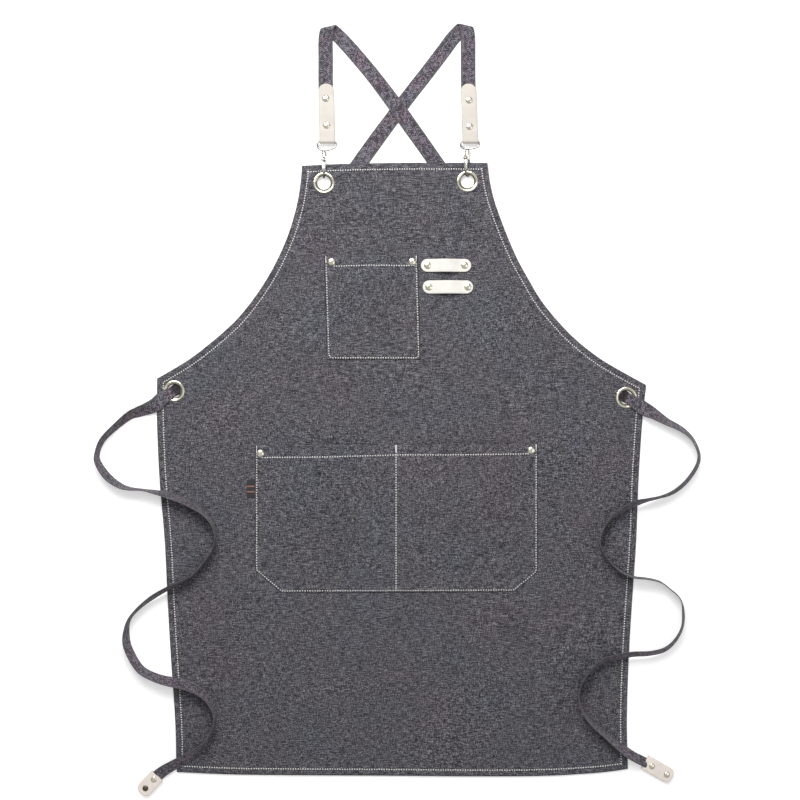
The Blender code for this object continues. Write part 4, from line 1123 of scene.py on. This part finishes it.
def hardware(side):
    cx, cy, cz = X(HOOKS[side][0]), Y(HOOKS[side][1]), STEM_Z
    dx = X(TAB_U[side])
    top_y = Y(BAR_V)
    low_y = cy + 40.2 * MM
    half = 11.4 * MM
    depth = top_y - low_y
    loop = [(dx, top_y), (dx + half - 4.0 * MM, top_y), (dx + half - 2.0 * MM, top_y - 0.1 * MM), (dx + half - 0.7 * MM, top_y - 0.8 * MM), (dx + half, top_y - 2.6 * MM)]
    rest = []
    for a in np.linspace(0.0, math.pi / 2, 9):
        rest.append((dx + (cx - dx) * (1 - math.cos(a)) + half * math.cos(a), low_y + (depth - 4.5 * MM) * (1 - math.sin(a))))
    for a in np.linspace(math.pi / 2, 0.0, 9)[1:]:
        rest.append((dx + (cx - dx) * (1 - math.cos(a)) - half * math.cos(a), low_y + (depth - 4.5 * MM) * (1 - math.sin(a))))
    loop += rest + [(dx - half, top_y - 2.6 * MM), (dx - half + 0.7 * MM, top_y - 0.8 * MM), (dx - half + 2.0 * MM, top_y - 0.1 * MM), (dx - half + 4.0 * MM, top_y)]
    dense = catmull(np.array(loop + loop[:1]), 3)[:-1]
    pts = np.column_stack([dense, np.full(len(dense), cz)])
    t, n, b = frames_along(pts, (0, 0, 1.0), cyclic=True)
    loops = [[p + (nn * math.cos(a) + bb * math.sin(a)) * 1.2 * MM for a in np.linspace(0, 2 * math.pi, 14, endpoint=False)] for p, nn, bb in zip(pts, n, b)]
    eye = loops_mesh(loops, cyclic=True)
    shank = lathe_y([(0.0, 33.3 * MM), (1.15 * MM, 33.3 * MM), (1.2 * MM, 33.5 * MM), (1.2 * MM, 38.3 * MM), (1.9 * MM, 38.5 * MM), (2.1 * MM, 39.1 * MM), (1.7 * MM, 39.9 * MM), (0.0, 40.4 * MM)], (cx, cy, cz), 28)
    obj = piece(f"swivel_d_eye_{side}", *join([eye, shank]), CHROME, slot="pale_metal", angle=45)
    # painted shade on the eye's sides
    darken_sides(obj, 0.8, 0.4)
    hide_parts(f"swivel_eye_{side}")

    # hook body
    body = f"hook_{side}"
    ring = [(1.55, 38.0), (2.9, 38.0), (3.35, 37.7), (3.4, 37.2), (3.4, 36.6), (3.15, 36.3), (3.15, 35.9), (3.4, 35.6), (3.4, 32.0), (3.2, 31.4), (2.5, 31.0), (0.0, 31.0)]
    barrel = lathe_y([(0.0, 32.8 * MM), (1.5 * MM, 32.8 * MM)] + [(r * MM, y * MM) for r, y in ring], (cx, cy, cz), 40)
    run = np.array([
        (0, 33.0, -1.6), (0, 30.8, -2.3), (0, 28.6, -3.6), (0, 26.4, -4.9), (0, 24.2, -5.45), (0, 21.0, -5.5), (0, 16.0, -5.5),
    ]) * MM
    bend = np.array([(0, Y_U - LEG * math.sin(a), -LEG * math.cos(a)) for a in np.linspace(0.0, math.pi, 15)])
    nose = np.array([(0, Y_U + 1.5 * MM, LEG), (0, Y_NOSE - 0.4 * MM, LEG)])
    path = np.vstack([catmull(run, 3), bend, nose]) + np.array((cx, cy, cz))
    t, n, b = frames_along(path, (0, 0, 1.0))
    sweep = []
    total = len(path)
    for i, (p, nn, bb) in enumerate(zip(path, n, b)):
        # wider across than thick
        w = 1.0
        x_dir = np.array((1.0, 0, 0))
        q = np.cross(t[i], x_dir)
        sweep.append([p + q * math.cos(a) * 1.28 * MM * w + x_dir * math.sin(a) * 1.3 * MM * w for a in np.linspace(0, 2 * math.pi, 16, endpoint=False)])
    for a in (30, 60, 82):
        c = path[-1] + t[-1] * 0.55 * MM * math.sin(math.radians(a))
        x_dir = np.array((1.0, 0, 0))
        q = np.cross(t[-1], x_dir)
        f = math.cos(math.radians(a))
        sweep.append([c + q * math.cos(w) * 1.28 * MM * f + x_dir * math.sin(w) * 1.3 * MM * f for w in np.linspace(0, 2 * math.pi, 16, endpoint=False)])
    spine = loops_mesh(sweep)
    cheeks = [
        rounded_box((cx + s * 1.72 * MM if s > 0 else cx - 2.88 * MM, cy + 26.5 * MM, cz + 0.6 * MM), (cx + 2.88 * MM if s > 0 else cx - 1.72 * MM, cy + 31.9 * MM, cz + LEG + 1.45 * MM), 0.45 * MM)
        for s in (-1, 1)
    ]
    bridge = rounded_box((cx - 2.6 * MM, cy + 30.55 * MM, cz + 0.6 * MM), (cx + 2.6 * MM, cy + 31.95 * MM, cz + LEG + 1.4 * MM), 0.3 * MM)
    obj = piece(f"snap_hook_body_{side}", *join([barrel, spine, *cheeks, bridge]), NICKEL, body=body, slot="pale_metal", angle=45)
    turn_about_stem(obj, side)
    # painted shade on the hook's sides
    darken_sides(obj, 0.5, 0.3, 0.8)
    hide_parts(f"snap_hook_{side}")

    # gate
    py, pz = cy + Y_PIVOT, cz + LEG
    hub = []
    steps = 28
    verts, faces = lathe([(1.0 * MM, -1.3 * MM), (1.65 * MM, -1.3 * MM), (1.7 * MM, -1.2 * MM), (1.7 * MM, 0.1 * MM), (1.65 * MM, 0.2 * MM), (1.0 * MM, 0.2 * MM)][::-1], (0, 0, 0), steps, ring=True)
    verts = [(cx + v[2], py + v[0], pz + v[1]) for v in verts]
    lever = []
    for y, w0, w1, h in (
        (Y_NOSE + 0.5, -1.75, 1.75, 0.75), (Y_NOSE + 0.62, -1.95, 1.95, 0.92), (Y_NOSE + 1.4, -2.1, 2.1, 1.0), (Y_NOSE + 5.0, -2.1, 2.1, 1.0), (Y_NOSE + 8.4, -2.05, 2.05, 1.0),
        (Y_NOSE + 9.2, -1.8, 1.6, 0.95), (Y_NOSE + 10.4, -1.22, 0.5, 0.88), (Y_NOSE + 12.0, -1.2, 0.1, 0.85), (Y_NOSE + 12.9, -1.2, 0.1, 0.85),
    ):
        yy = (y - Y_NOSE) * MM + Y_NOSE
        mid, hw = (w0 + w1) / 2 * MM, (w1 - w0) / 2 * MM
        ringp = []
        for k in range(16):
            a = 2 * math.pi * k / 16
            ca, sa = math.cos(a), math.sin(a)
            e = 0.45
            ringp.append((cx + mid + hw * math.copysign(abs(ca) ** e, ca), cy + yy, pz + h * MM * math.copysign(abs(sa) ** e, sa)))
        lever.append(ringp[::-1])
    # thumb ridges on the lever
    ridges = [rounded_box((cx - 1.75 * MM, cy + Y_NOSE + (3.2 + 1.3 * k) * MM, pz + 0.85 * MM), (cx + 1.75 * MM, cy + Y_NOSE + (3.75 + 1.3 * k) * MM, pz + 1.2 * MM), 0.12 * MM) for k in range(4)]
    gate = piece(f"spring_gate_{side}", *join([(verts, faces), loops_mesh(lever), *ridges]), NICKEL, body=f"gate_{side}", slot="pale_metal", angle=45)
    turn_about_stem(gate, side)
    # painted shade on the gate's sides, lighter
    darken_sides(gate, 0.35, 0.3, 0.35)
    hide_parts(f"hook_gate_{side}")

    # pin with small heads
    prof = [(0.0, -3.3), (0.55, -3.3), (0.85, -3.15), (0.9, -2.95), (0.7, -2.9), (0.7, 2.9), (0.9, 2.95), (0.85, 3.15), (0.55, 3.3), (0.0, 3.3)]
    verts, faces = lathe([(r * MM, z * MM) for r, z in prof][::-1], (0, 0, 0), 24)
    verts = [(cx + v[2], py + v[0], pz + v[1]) for v in verts]
    pin = piece(f"gate_pivot_pin_{side}", verts, faces, NICKEL, body=body, slot="pale_metal", angle=45)
    turn_about_stem(pin, side)
    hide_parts(f"gate_pin_{side}")

    turns = np.linspace(0, 1.5, 46)
    coil = np.column_stack([cx + (0.52 + 0.72 * turns / 1.5) * MM, py + 1.3 * MM * np.cos(2 * math.pi * turns), pz + 1.3 * MM * np.sin(2 * math.pi * turns)])
    spring = tube(f"gate_coil_spring_{side}", coil, 0.17 * MM, STEEL, body=f"gate_{side}", slot="spring_steel", sides=8, up=(1.0, 0, 0))
    turn_about_stem(spring, side)
    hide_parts(f"gate_spring_{side}")


for side in ("left", "right"):
    hardware(side)

# =====================================================================
# webbing straps and ties
# =====================================================================
HALF_W = 9.0


def lie(u, v, roll, base, width=1.0):
    r = math.radians(roll)
    z = base + (HALF_W * abs(math.sin(r)) + 0.65 * abs(math.cos(r))) * width
    return (X(u), Y(v), z * MM, r, width)


LEFT_RUN = [
    lie(353.0, 51.5, 0, 0), lie(370.7, 72.5, 0, 0.1), lie(387.9, 95, 0, 1.7, 1.02), lie(398.8, 110, 0, 2.9, 1.05),
    lie(409.5, 125, 0, 1.7, 1.06), lie(420.8, 140.7, 0, 0.1, 1.05), lie(436.0, 162.4, 0, 0, 1.04), lie(449.6, 182, 0, 0, 1.03), lie(464, 207, 0, 0),
    lie(478, 232, 0, 0), lie(491, 256, 0, 0), lie(505, 284, 0, 0), lie(522, 314, 0, 0), lie(543, 340, 0, 0),
    lie(567, 362, 0, 0), lie(588, 377.5, 0, 0), lie(604, 385.2, 0, 0, 0.98), lie(615.3, 390.8, 0, 0, 0.95),
    lie(621.6, 394.6, 0, 0.1, 0.88), lie(625.8, 397.2, 0, 1.3, 0.78), lie(629.0, 399.1, 0, 3.7, 0.74), lie(632.4, 401.2, 0, 5.2, 0.8),
    lie(635.3, 403.0, 0, 5.2, 0.86), lie(638.7, 405.0, 3, 5.0, 0.93),
]
RIGHT_TIE = [
    lie(646, 410, 14, 4.0, 0.98), lie(653.7, 414, 38, 2.2), lie(667, 422, 58, 0), lie(680.5, 429, 66, 0), lie(691, 438, 72, 0),
    lie(697.3, 450.4, 72, 0), lie(698, 460, 70, 0), lie(694, 470, 68, 0), lie(684.6, 482.5, 68, 0), lie(672.5, 492, 70, 0),
    lie(659, 497, 76, 1.2), lie(645.7, 500, 72, 3.3), lie(635, 503, 62, 3.3), lie(623, 509, 64, 3.3), lie(611, 517, 74, 3.3),
    lie(603, 528, 82, 3.3), lie(599, 540, 88, 3.3), lie(601.5, 549.5, 88, 3.3), lie(609.6, 561.5, 88, 3.3), lie(620, 571, 88, 3.3),
    lie(633, 576.5, 86, 3.3), lie(645.7, 578, 88, 2.4), lie(659.5, 581.4, 88, 0.2), lie(670, 589, 88, 0), lie(679.4, 598, 86, 0),
    lie(682.5, 610.5, 74, 0), lie(681.7, 626, 72, 0), lie(674.8, 639.6, 68, 0), lie(664, 649, 64, 0.4), lie(648.8, 652.6, 64, 2.6),
    lie(632, 653.4, 62, 3.3), lie(616.6, 656.4, 59, 3.3), lie(601, 661, 64, 3.3), lie(589, 671.7, 74, 3.3), lie(581.4, 682.5, 80, 3.3),
    lie(578.4, 694.7, 82, 3.3), lie(581.4, 708.5, 80, 3.3), lie(590.6, 722, 78, 3.3), lie(603, 733, 76, 3.3), lie(616, 743.5, 66, 3.4),
    lie(626, 751, 54, 3.5, 0.95), lie(634.5, 756.5, 46, 3.2, 0.82), lie(642.5, 760.8, 24, 2.4, 0.68), lie(648.9, 764.4, 6, 2.35, 0.62),
]
RIGHT_RUN = [
    lie(443.3, 51, 0, 0), lie(427.2, 72.2, 0, 0), lie(411.6, 92.1, 0, 0), lie(400.9, 106.1, 0, 0),
    lie(390.5, 120.4, 0, 0, 1.03), lie(375.6, 140.6, 0, 0, 1.06), lie(360.0, 162.4, 0, 0, 1.06), lie(346.6, 182, 0, 0, 1.03), lie(331, 207, 0, 0),
    lie(317, 232, 0, 0), lie(304, 256, 0, 0), lie(289, 284, 0, 0), lie(271, 314, 0, 0), lie(250, 339, 0, 0),
    lie(228, 359, 0, 0), lie(209, 372.5, 0, 0), lie(196, 378.6, 0, 0, 0.98), lie(184.9, 384.1, 0, 0, 0.95),
    lie(178.7, 388.0, 0, 0.1, 0.88), lie(174.6, 390.6, 0, 1.3, 0.78), lie(171.4, 392.6, 0, 3.7, 0.74), lie(168.0, 394.8, 0, 5.2, 0.8),
    lie(165.1, 396.6, 0, 5.2, 0.86), lie(161.8, 398.8, 3, 5.0, 0.93),
]
LEFT_TIE = [
    lie(155.5, 405, 14, 4.0, 0.98), lie(147, 409, 36, 2.0), lie(138.5, 412, 46, 0), lie(130, 415.5, 58, 0), lie(117, 426, 68, 0),
    lie(103.4, 439.6, 74, 0), lie(98, 453, 78, 0), lie(98.7, 462.4, 72, 0), lie(107.4, 475.8, 66, 0), lie(119.5, 485, 72, 0),
    lie(130, 488.5, 80, 0), lie(143.6, 489.6, 86, 1.4), lie(159.6, 492.5, 74, 3.3), lie(173, 496, 66, 3.3), lie(189, 502.6, 68, 3.3),
    lie(203.8, 512, 76, 3.3), lie(213.2, 524, 84, 3.3), lie(216, 536, 88, 3.3), lie(213, 549.5, 88, 3.3), lie(203.8, 563, 86, 3.3),
    lie(194.5, 573.7, 86, 3.3), lie(184, 580, 84, 3.3), lie(170.3, 586.8, 74, 3.3), lie(153.5, 596.7, 72, 2.0), lie(138, 609, 80, 0),
    lie(129, 621, 82, 0), lie(126.7, 638, 68, 0), lie(130.5, 652, 64, 0), lie(141, 668.7, 64, 0), lie(156.5, 677, 62, 1.6),
    lie(171.8, 681, 56, 3.3), lie(187, 684, 52, 3.3), lie(201, 691, 64, 3.3), lie(210, 701, 78, 3.3), lie(215.5, 714.6, 84, 3.3),
    lie(214, 727, 82, 3.3), lie(207, 740.6, 74, 3.3), lie(196.3, 751.3, 52, 3.3), lie(184, 759, 40, 3.3, 0.96), lie(173.5, 764.6, 34, 3.3, 0.9),
    lie(165.5, 769.4, 22, 2.9, 0.84), lie(158.4, 774.8, 8, 2.4, 0.8), lie(153.4, 779.8, 0, 2.35, 0.8),
]

PLY_U = {"left": 325.6, "right": 468.1}
# plan place, height (mm), ruling direction (to the inner side, up the page) and its
# length factor round the soft loop at the top: rulings stay parallel to the fold
LOOP = {
    "left": [
        (325.5, 48.0, 2.9, 0.998, 0.06, 1.0), (325.6, 41.0, 4.4, 0.985, 0.17, 1.01), (326.1, 35.0, 6.6, 0.975, 0.222, 1.03),
        (326.9, 30.6, 8.0, 0.975, 0.222, 1.03), (327.9, 28.0, 7.0, 0.975, 0.222, 1.04), (328.7, 27.1, 5.2, 0.975, 0.222, 1.05),
        (330.0, 27.6, 3.0, 0.975, 0.222, 1.07), (332.6, 29.9, 1.4, 0.965, 0.262, 1.08), (337.4, 34.6, 0.8, 0.92, 0.39, 1.03),
        (343.4, 40.9, 0.66, 0.83, 0.56, 1.0),
    ],
    "right": [
        (468.1, 48.0, 2.9, 0.998, 0.06, 1.0), (468.0, 41.0, 4.4, 0.985, 0.17, 1.01), (467.5, 34.0, 6.6, 0.975, 0.222, 1.03),
        (466.8, 29.2, 8.0, 0.975, 0.222, 1.03), (466.0, 26.6, 7.0, 0.975, 0.222, 1.04), (465.3, 25.7, 5.2, 0.975, 0.222, 1.05),
        (464.0, 26.2, 3.0, 0.975, 0.222, 1.07), (461.5, 28.6, 1.4, 0.965, 0.262, 1.08), (456.9, 33.4, 0.8, 0.92, 0.39, 1.03),
        (451.2, 40.2, 0.66, 0.83, 0.56, 1.0),
    ],
}


def strap_frames(side):
    """All stations of one strap as rows: centre, width direction, width factor."""
    sign = 1.0 if side == "left" else -1.0
    rows = []
    for v in (131.0, 124.0, 116.0, 108.0, 100.0, 92.0, 84.0, 77.0, 70.0, 63.0, 56.0):
        inside = (tab_under(v) + tab_over(v)) / 2
        f = float(smooth((v - 66.0) / (TAB_V0 - 66.0)))
        askew = (0.9 if side == "left" else 1.5) * max(v - 80, 0) / 50
        rows.append((X(PLY_U[side] + askew), Y(v), 2.3 * MM * (1 - f) + inside * f, sign, 0.0, 0.0, 1.0))
    for u, v, z, wx, wy, f in LOOP[side]:
        rows.append((X(u), Y(v), z * MM, wx * sign, wy, 0.0, f))
    run = np.array(LEFT_RUN + RIGHT_TIE if side == "left" else RIGHT_RUN + LEFT_TIE)
    dense_front = catmull(np.array(rows + [(*run[0][:3], 0.795 * sign, 0.606, 0.0, 1.0), (*run[1][:3], 0.795 * sign, 0.606, 0.0, 1.0)]), 8)
    stop = len(rows) * 8  # at the first measured station of the diagonal
    dense_front = resample(dense_front[: stop + 1], 0.8 * MM)
    dense = resample(catmull(run, 10), 2.0 * MM)[1:]
    t = np.gradient(dense[:, :3], axis=0)
    t /= np.linalg.norm(t, axis=1)[:, None]
    h = np.cross(t, (0, 0, 1.0))
    h /= np.linalg.norm(h, axis=1)[:, None]
    k = np.cross(h, t)
    # h points to the right of travel: keep the width's own sense
    s = 1.0 if h[0] @ np.array((0.795 * sign, 0.606, 0.0)) > 0 else -1.0
    roll = dense[:, 3]
    width = (h * np.cos(roll)[:, None] + k * np.sin(roll)[:, None]) * s
    back = np.column_stack([dense[:, :3], width, dense[:, 4]])
    rows = np.vstack([dense_front, back])
    return rows[:, :3], rows[:, 3:6], rows[:, 6], len(dense_front)


def build_strap(side):
    centres, wdir, factor, front = strap_frames(side)
    rows = np.column_stack([centres, wdir, factor, np.arange(len(centres)) < front])
    # drop stations closer than 0.25 mm
    keep = [0]
    for i in range(1, len(rows)):
        if np.linalg.norm(rows[i, :3] - rows[keep[-1], :3]) > 0.25 * MM:
            keep.append(i)
    rows = rows[keep]
    centres, wdir, factor, oblique = rows[:, :3], rows[:, 3:6], rows[:, 6], rows[:, 7]
    t = np.gradient(centres, axis=0)
    t /= np.linalg.norm(t, axis=1)[:, None]
    wdir = wdir - (wdir * t).sum(1)[:, None] * t * (1 - oblique)[:, None]
    wdir /= np.linalg.norm(wdir, axis=1)[:, None]
    normal = np.cross(t, wdir)
    normal /= np.linalg.norm(normal, axis=1)[:, None]
    hole = np.array((X(WAIST["right" if side == "left" else "left"][0]), Y(WAIST["right" if side == "left" else "left"][1])))
    # painted shade: marks the strap where it lies low under the panel inside the other waist eyelet
    hole_shade = (1 - smooth((centres[:, 2] - 1.9 * MM) / (1.6 * MM))) * (np.linalg.norm(centres[:, :2] - hole, axis=1) < 14 * MM)
    tuck = []
    run = np.concatenate([[0], np.cumsum(np.linalg.norm(np.diff(centres, axis=0), axis=1))])
    across = np.array([-1, -0.985, -0.94, -0.86, -0.72, -0.55, -0.36, -0.18, 0, 0.18, 0.36, 0.55, 0.72, 0.86, 0.94, 0.985, 1])
    loops, uvs = [], []
    half, thick = 9.0 * MM, 0.62 * MM
    for i in range(len(centres)):
        f = factor[i]
        bunch = np.clip((1 - f) / 0.25, 0, 1)
        th = thick * (1 + 0.15 * bunch)
        loop = []
        for direction, order in ((1, across), (-1, across[::-1])):
            for s in order:
                edge = (1 - abs(s) ** 10) ** 0.5 if abs(s) < 1 else 0.0
                o = direction * th * (0.25 + 0.75 * edge)
                # gathered webbing cups a little, its edges low
                cup = 0.55 * MM * bunch * (0.4 - s * s)
                loop.append(centres[i] + wdir[i] * half * f * s + normal[i] * o + np.array((0, 0, cup)))
                uvs.append((s * half, run[i], direction * 0.001))
                tuck.append(hole_shade[i])
        loops.append(loop)
    verts, faces = loops_mesh(loops)
    # keep the skin facing out
    obj = piece(f"webbing_strap_{side}", verts, faces, WEBBING, slot="webbing", angle=70, attributes={"strap_uv": ("FLOAT_VECTOR", uvs), "tuck": ("FLOAT", tuck)})
    import bmesh

    bm = bmesh.new()
    bm.from_mesh(obj.data)
    bmesh.ops.recalc_face_normals(bm, faces=bm.faces)
    bm.to_mesh(obj.data)
    bm.free()
    obj.data.shade_smooth()
    obj.data.set_sharp_from_angle(angle=math.radians(70))
    return obj, centres, run[-1]


straps = {}
for side in ("left", "right"):
    obj, centres, length = build_strap(side)
    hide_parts(f"strap_{side}", f"strap_front_{side}")
    straps[side] = (obj, centres, length)


# =====================================================================
# leather tie ends
# =====================================================================
def tie_end(name, start, end, fractions, dark, node):
    a = np.array((X(start[0]), Y(start[1])))
    b = np.array((X(end[0]), Y(end[1])))
    length = np.linalg.norm(b - a)
    along = (b - a) / length
    side = np.array((-along[1], along[0]))
    half = 9.4 * MM
    xs = [0.0, 0.05, 0.15, 0.4, 0.8, 1.4, 2.2] + list(np.linspace(3.4, length / MM - 8.0, 14))
    xs += [length / MM - k for k in (7.0, 6.0, 5.0, 4.0, 3.1, 2.3, 1.6, 1.0, 0.55, 0.25, 0.08, 0.0)]
    across = np.array([-1, -0.99, -0.965, -0.9, -0.75, -0.45, 0, 0.45, 0.75, 0.9, 0.965, 0.99, 1])
    loops, edges = [], []
    tip_r = 6.2
    for x in xs:
        e_tip = length / MM - x
        f = 1.0 if e_tip > tip_r else math.sqrt(max(1 - ((tip_r - e_tip) / tip_r) ** 2, 0.0))
        w = max(half * (0.18 + 0.82 * f) if e_tip < tip_r else half, 0.2 * MM)
        if e_tip < 0.02:
            w = half * 0.18
        # the folded leather is thickest where it holds the webbing
        body = 1.0 - 0.22 * float(smooth((x - length / MM + 12) / 10))
        loop = []
        for s in across:
            de = min((1 - abs(s)) * w, min(x, e_tip) * MM)
            o = (1.9 * MM * body) - 0.5 * MM * math.exp(-((de / (0.45 * MM)) ** 1.3))
            dip = 0.25 * MM * sum(math.exp(-(((x * MM - f2 * length) ** 2 + (s * w) ** 2) / (3.8 * MM) ** 2)) for f2 in fractions)
            p = a + along * x * MM + side * w * s
            loop.append((p[0], p[1], 3.0 * MM + o - dip))
            edges.append(math.exp(-((de / (0.4 * MM)) ** 1.5)))
        for s in across[::-1]:
            de = min((1 - abs(s)) * w, min(x, e_tip) * MM)
            o = (1.9 * MM * body) - 0.5 * MM * math.exp(-((de / (0.45 * MM)) ** 1.3))
            p = a + along * x * MM + side * w * s
            loop.append((p[0], p[1], 3.0 * MM - o))
            edges.append(math.exp(-((de / (0.4 * MM)) ** 1.5)))
        loops.append(loop)
    verts, faces = loops_mesh(loops)
    import bmesh

    obj = piece(name, verts, faces, LEATHER_TIE, slot="leather", angle=60, attributes={"cut_edge": ("FLOAT", edges)})
    bm = bmesh.new()
    bm.from_mesh(obj.data)
    bmesh.ops.recalc_face_normals(bm, faces=bm.faces)
    bm.to_mesh(obj.data)
    bm.free()
    obj.data.shade_smooth()
    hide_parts(node)
    made = [obj]
    for i, f in enumerate(fractions):
        p = a + along * length * f
        place = (U0 + p[0] / GRID, V0 - p[1] / GRID)
        made.append(
            rivet(f"{name}_rivet_{i + 1}", place, 1.2 * MM, 4.75 * MM, f"{node}_rivet_{i + 1}", cap=3.6 * MM, back=2.8 * MM, mat=DARK if i in dark else GOLD)
        )
    return made


ends = {
    "right": tie_end("leather_tie_end_left", (157.6, 775.4), (141.0, 792.8), (0.22, 0.72), (1,), "tie_end_left"),
    "left": tie_end("leather_tie_end_right", (644.6, 761.9), (672.0, 777.5), (0.26, 0.8), (), "tie_end_right"),
}

# =====================================================================
# strap lengths, printed
# =====================================================================
for side in ("left", "right"):
    obj, centres, length = straps[side]
    print(side, "strap length", round(length, 4))


# =====================================================================
# stage, light and camera
# =====================================================================
floor_mesh = bpy.data.meshes.new("studio_floor")
floor_mesh.from_pydata([(-6, -6, 0), (6, -6, 0), (6, 6, 0), (-6, 6, 0)], [], [(0, 1, 2, 3)])
floor = bpy.data.objects.new("studio_floor", floor_mesh)
bpy.context.scene.collection.objects.link(floor)
floor.location.z = -0.00005
n = Nodes("studio_white")
n.set(Base_Color=(0.9, 0.9, 0.9), Roughness=0.9, Specular_IOR_Level=0.1, Emission_Color=(1.0, 1.0, 1.0), Emission_Strength=0.34)
floor_mesh.materials.append(n.mat)

world = bpy.data.worlds.new("studio")
bpy.context.scene.world = world
world.use_nodes = True
wt = world.node_tree
background = wt.nodes["Background"]
coord = wt.nodes.new("ShaderNodeTexCoord")
sep = wt.nodes.new("ShaderNodeSeparateXYZ")
wt.links.new(coord.outputs["Generated"], sep.inputs[0])
ramp = wt.nodes.new("ShaderNodeValToRGB")
ramp.color_ramp.elements[0].position = 0.12
ramp.color_ramp.elements[0].color = (0.035, 0.035, 0.03, 1)
ramp.color_ramp.elements[1].position = 0.62
ramp.color_ramp.elements[1].color = (1, 1, 1, 1)
wt.links.new(sep.outputs[2], ramp.inputs["Fac"])
wt.links.new(ramp.outputs["Color"], background.inputs["Color"])
background.inputs["Strength"].default_value = 0.5


def area_light(name, place, target, size, power):
    data = bpy.data.lights.new(name, "AREA")
    data.shape = "RECTANGLE"
    data.size, data.size_y = size
    data.energy = power
    lamp = bpy.data.objects.new(name, data)
    lamp.location = place
    direction = Vector(target) - Vector(place)
    lamp.rotation_mode = "QUATERNION"
    lamp.rotation_quaternion = direction.to_track_quat("-Z", "Y")
    bpy.context.scene.collection.objects.link(lamp)


area_light("key_softbox", (-0.25, 1.05, 1.3), (0, 0.15, 0), (1.2, 0.8), 27.0)
area_light("fill_softbox", (1.3, -0.2, 1.8), (0, 0, 0), (1.2, 1.2), 5.0)

scene = bpy.context.scene
scene.view_settings.view_transform = "Standard"
scene.view_settings.look = "None"
scene.view_settings.exposure = 0.0
scene.view_settings.gamma = 1.0

cam_data = bpy.data.cameras.new("overhead")
cam_data.sensor_width = 36.0
cam_data.lens = 85.0
camera = bpy.data.objects.new("overhead", cam_data)
scene.collection.objects.link(camera)
height = 0.992 / 2 / (18.0 / 85.0)
camera.location = (X(400.0), Y(400.0), height + 0.003)
camera.rotation_euler = (0, 0, 0)
cam_data.clip_start, cam_data.clip_end = 0.1, 20
scene.camera = camera

# carried-over CAD nodes, if any is still shown
for node_name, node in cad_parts.items():
    if not node.hide_render:
        print("CAD node shown:", node_name)
        node.data.materials.clear()
        node.data.materials.append(NICKEL)
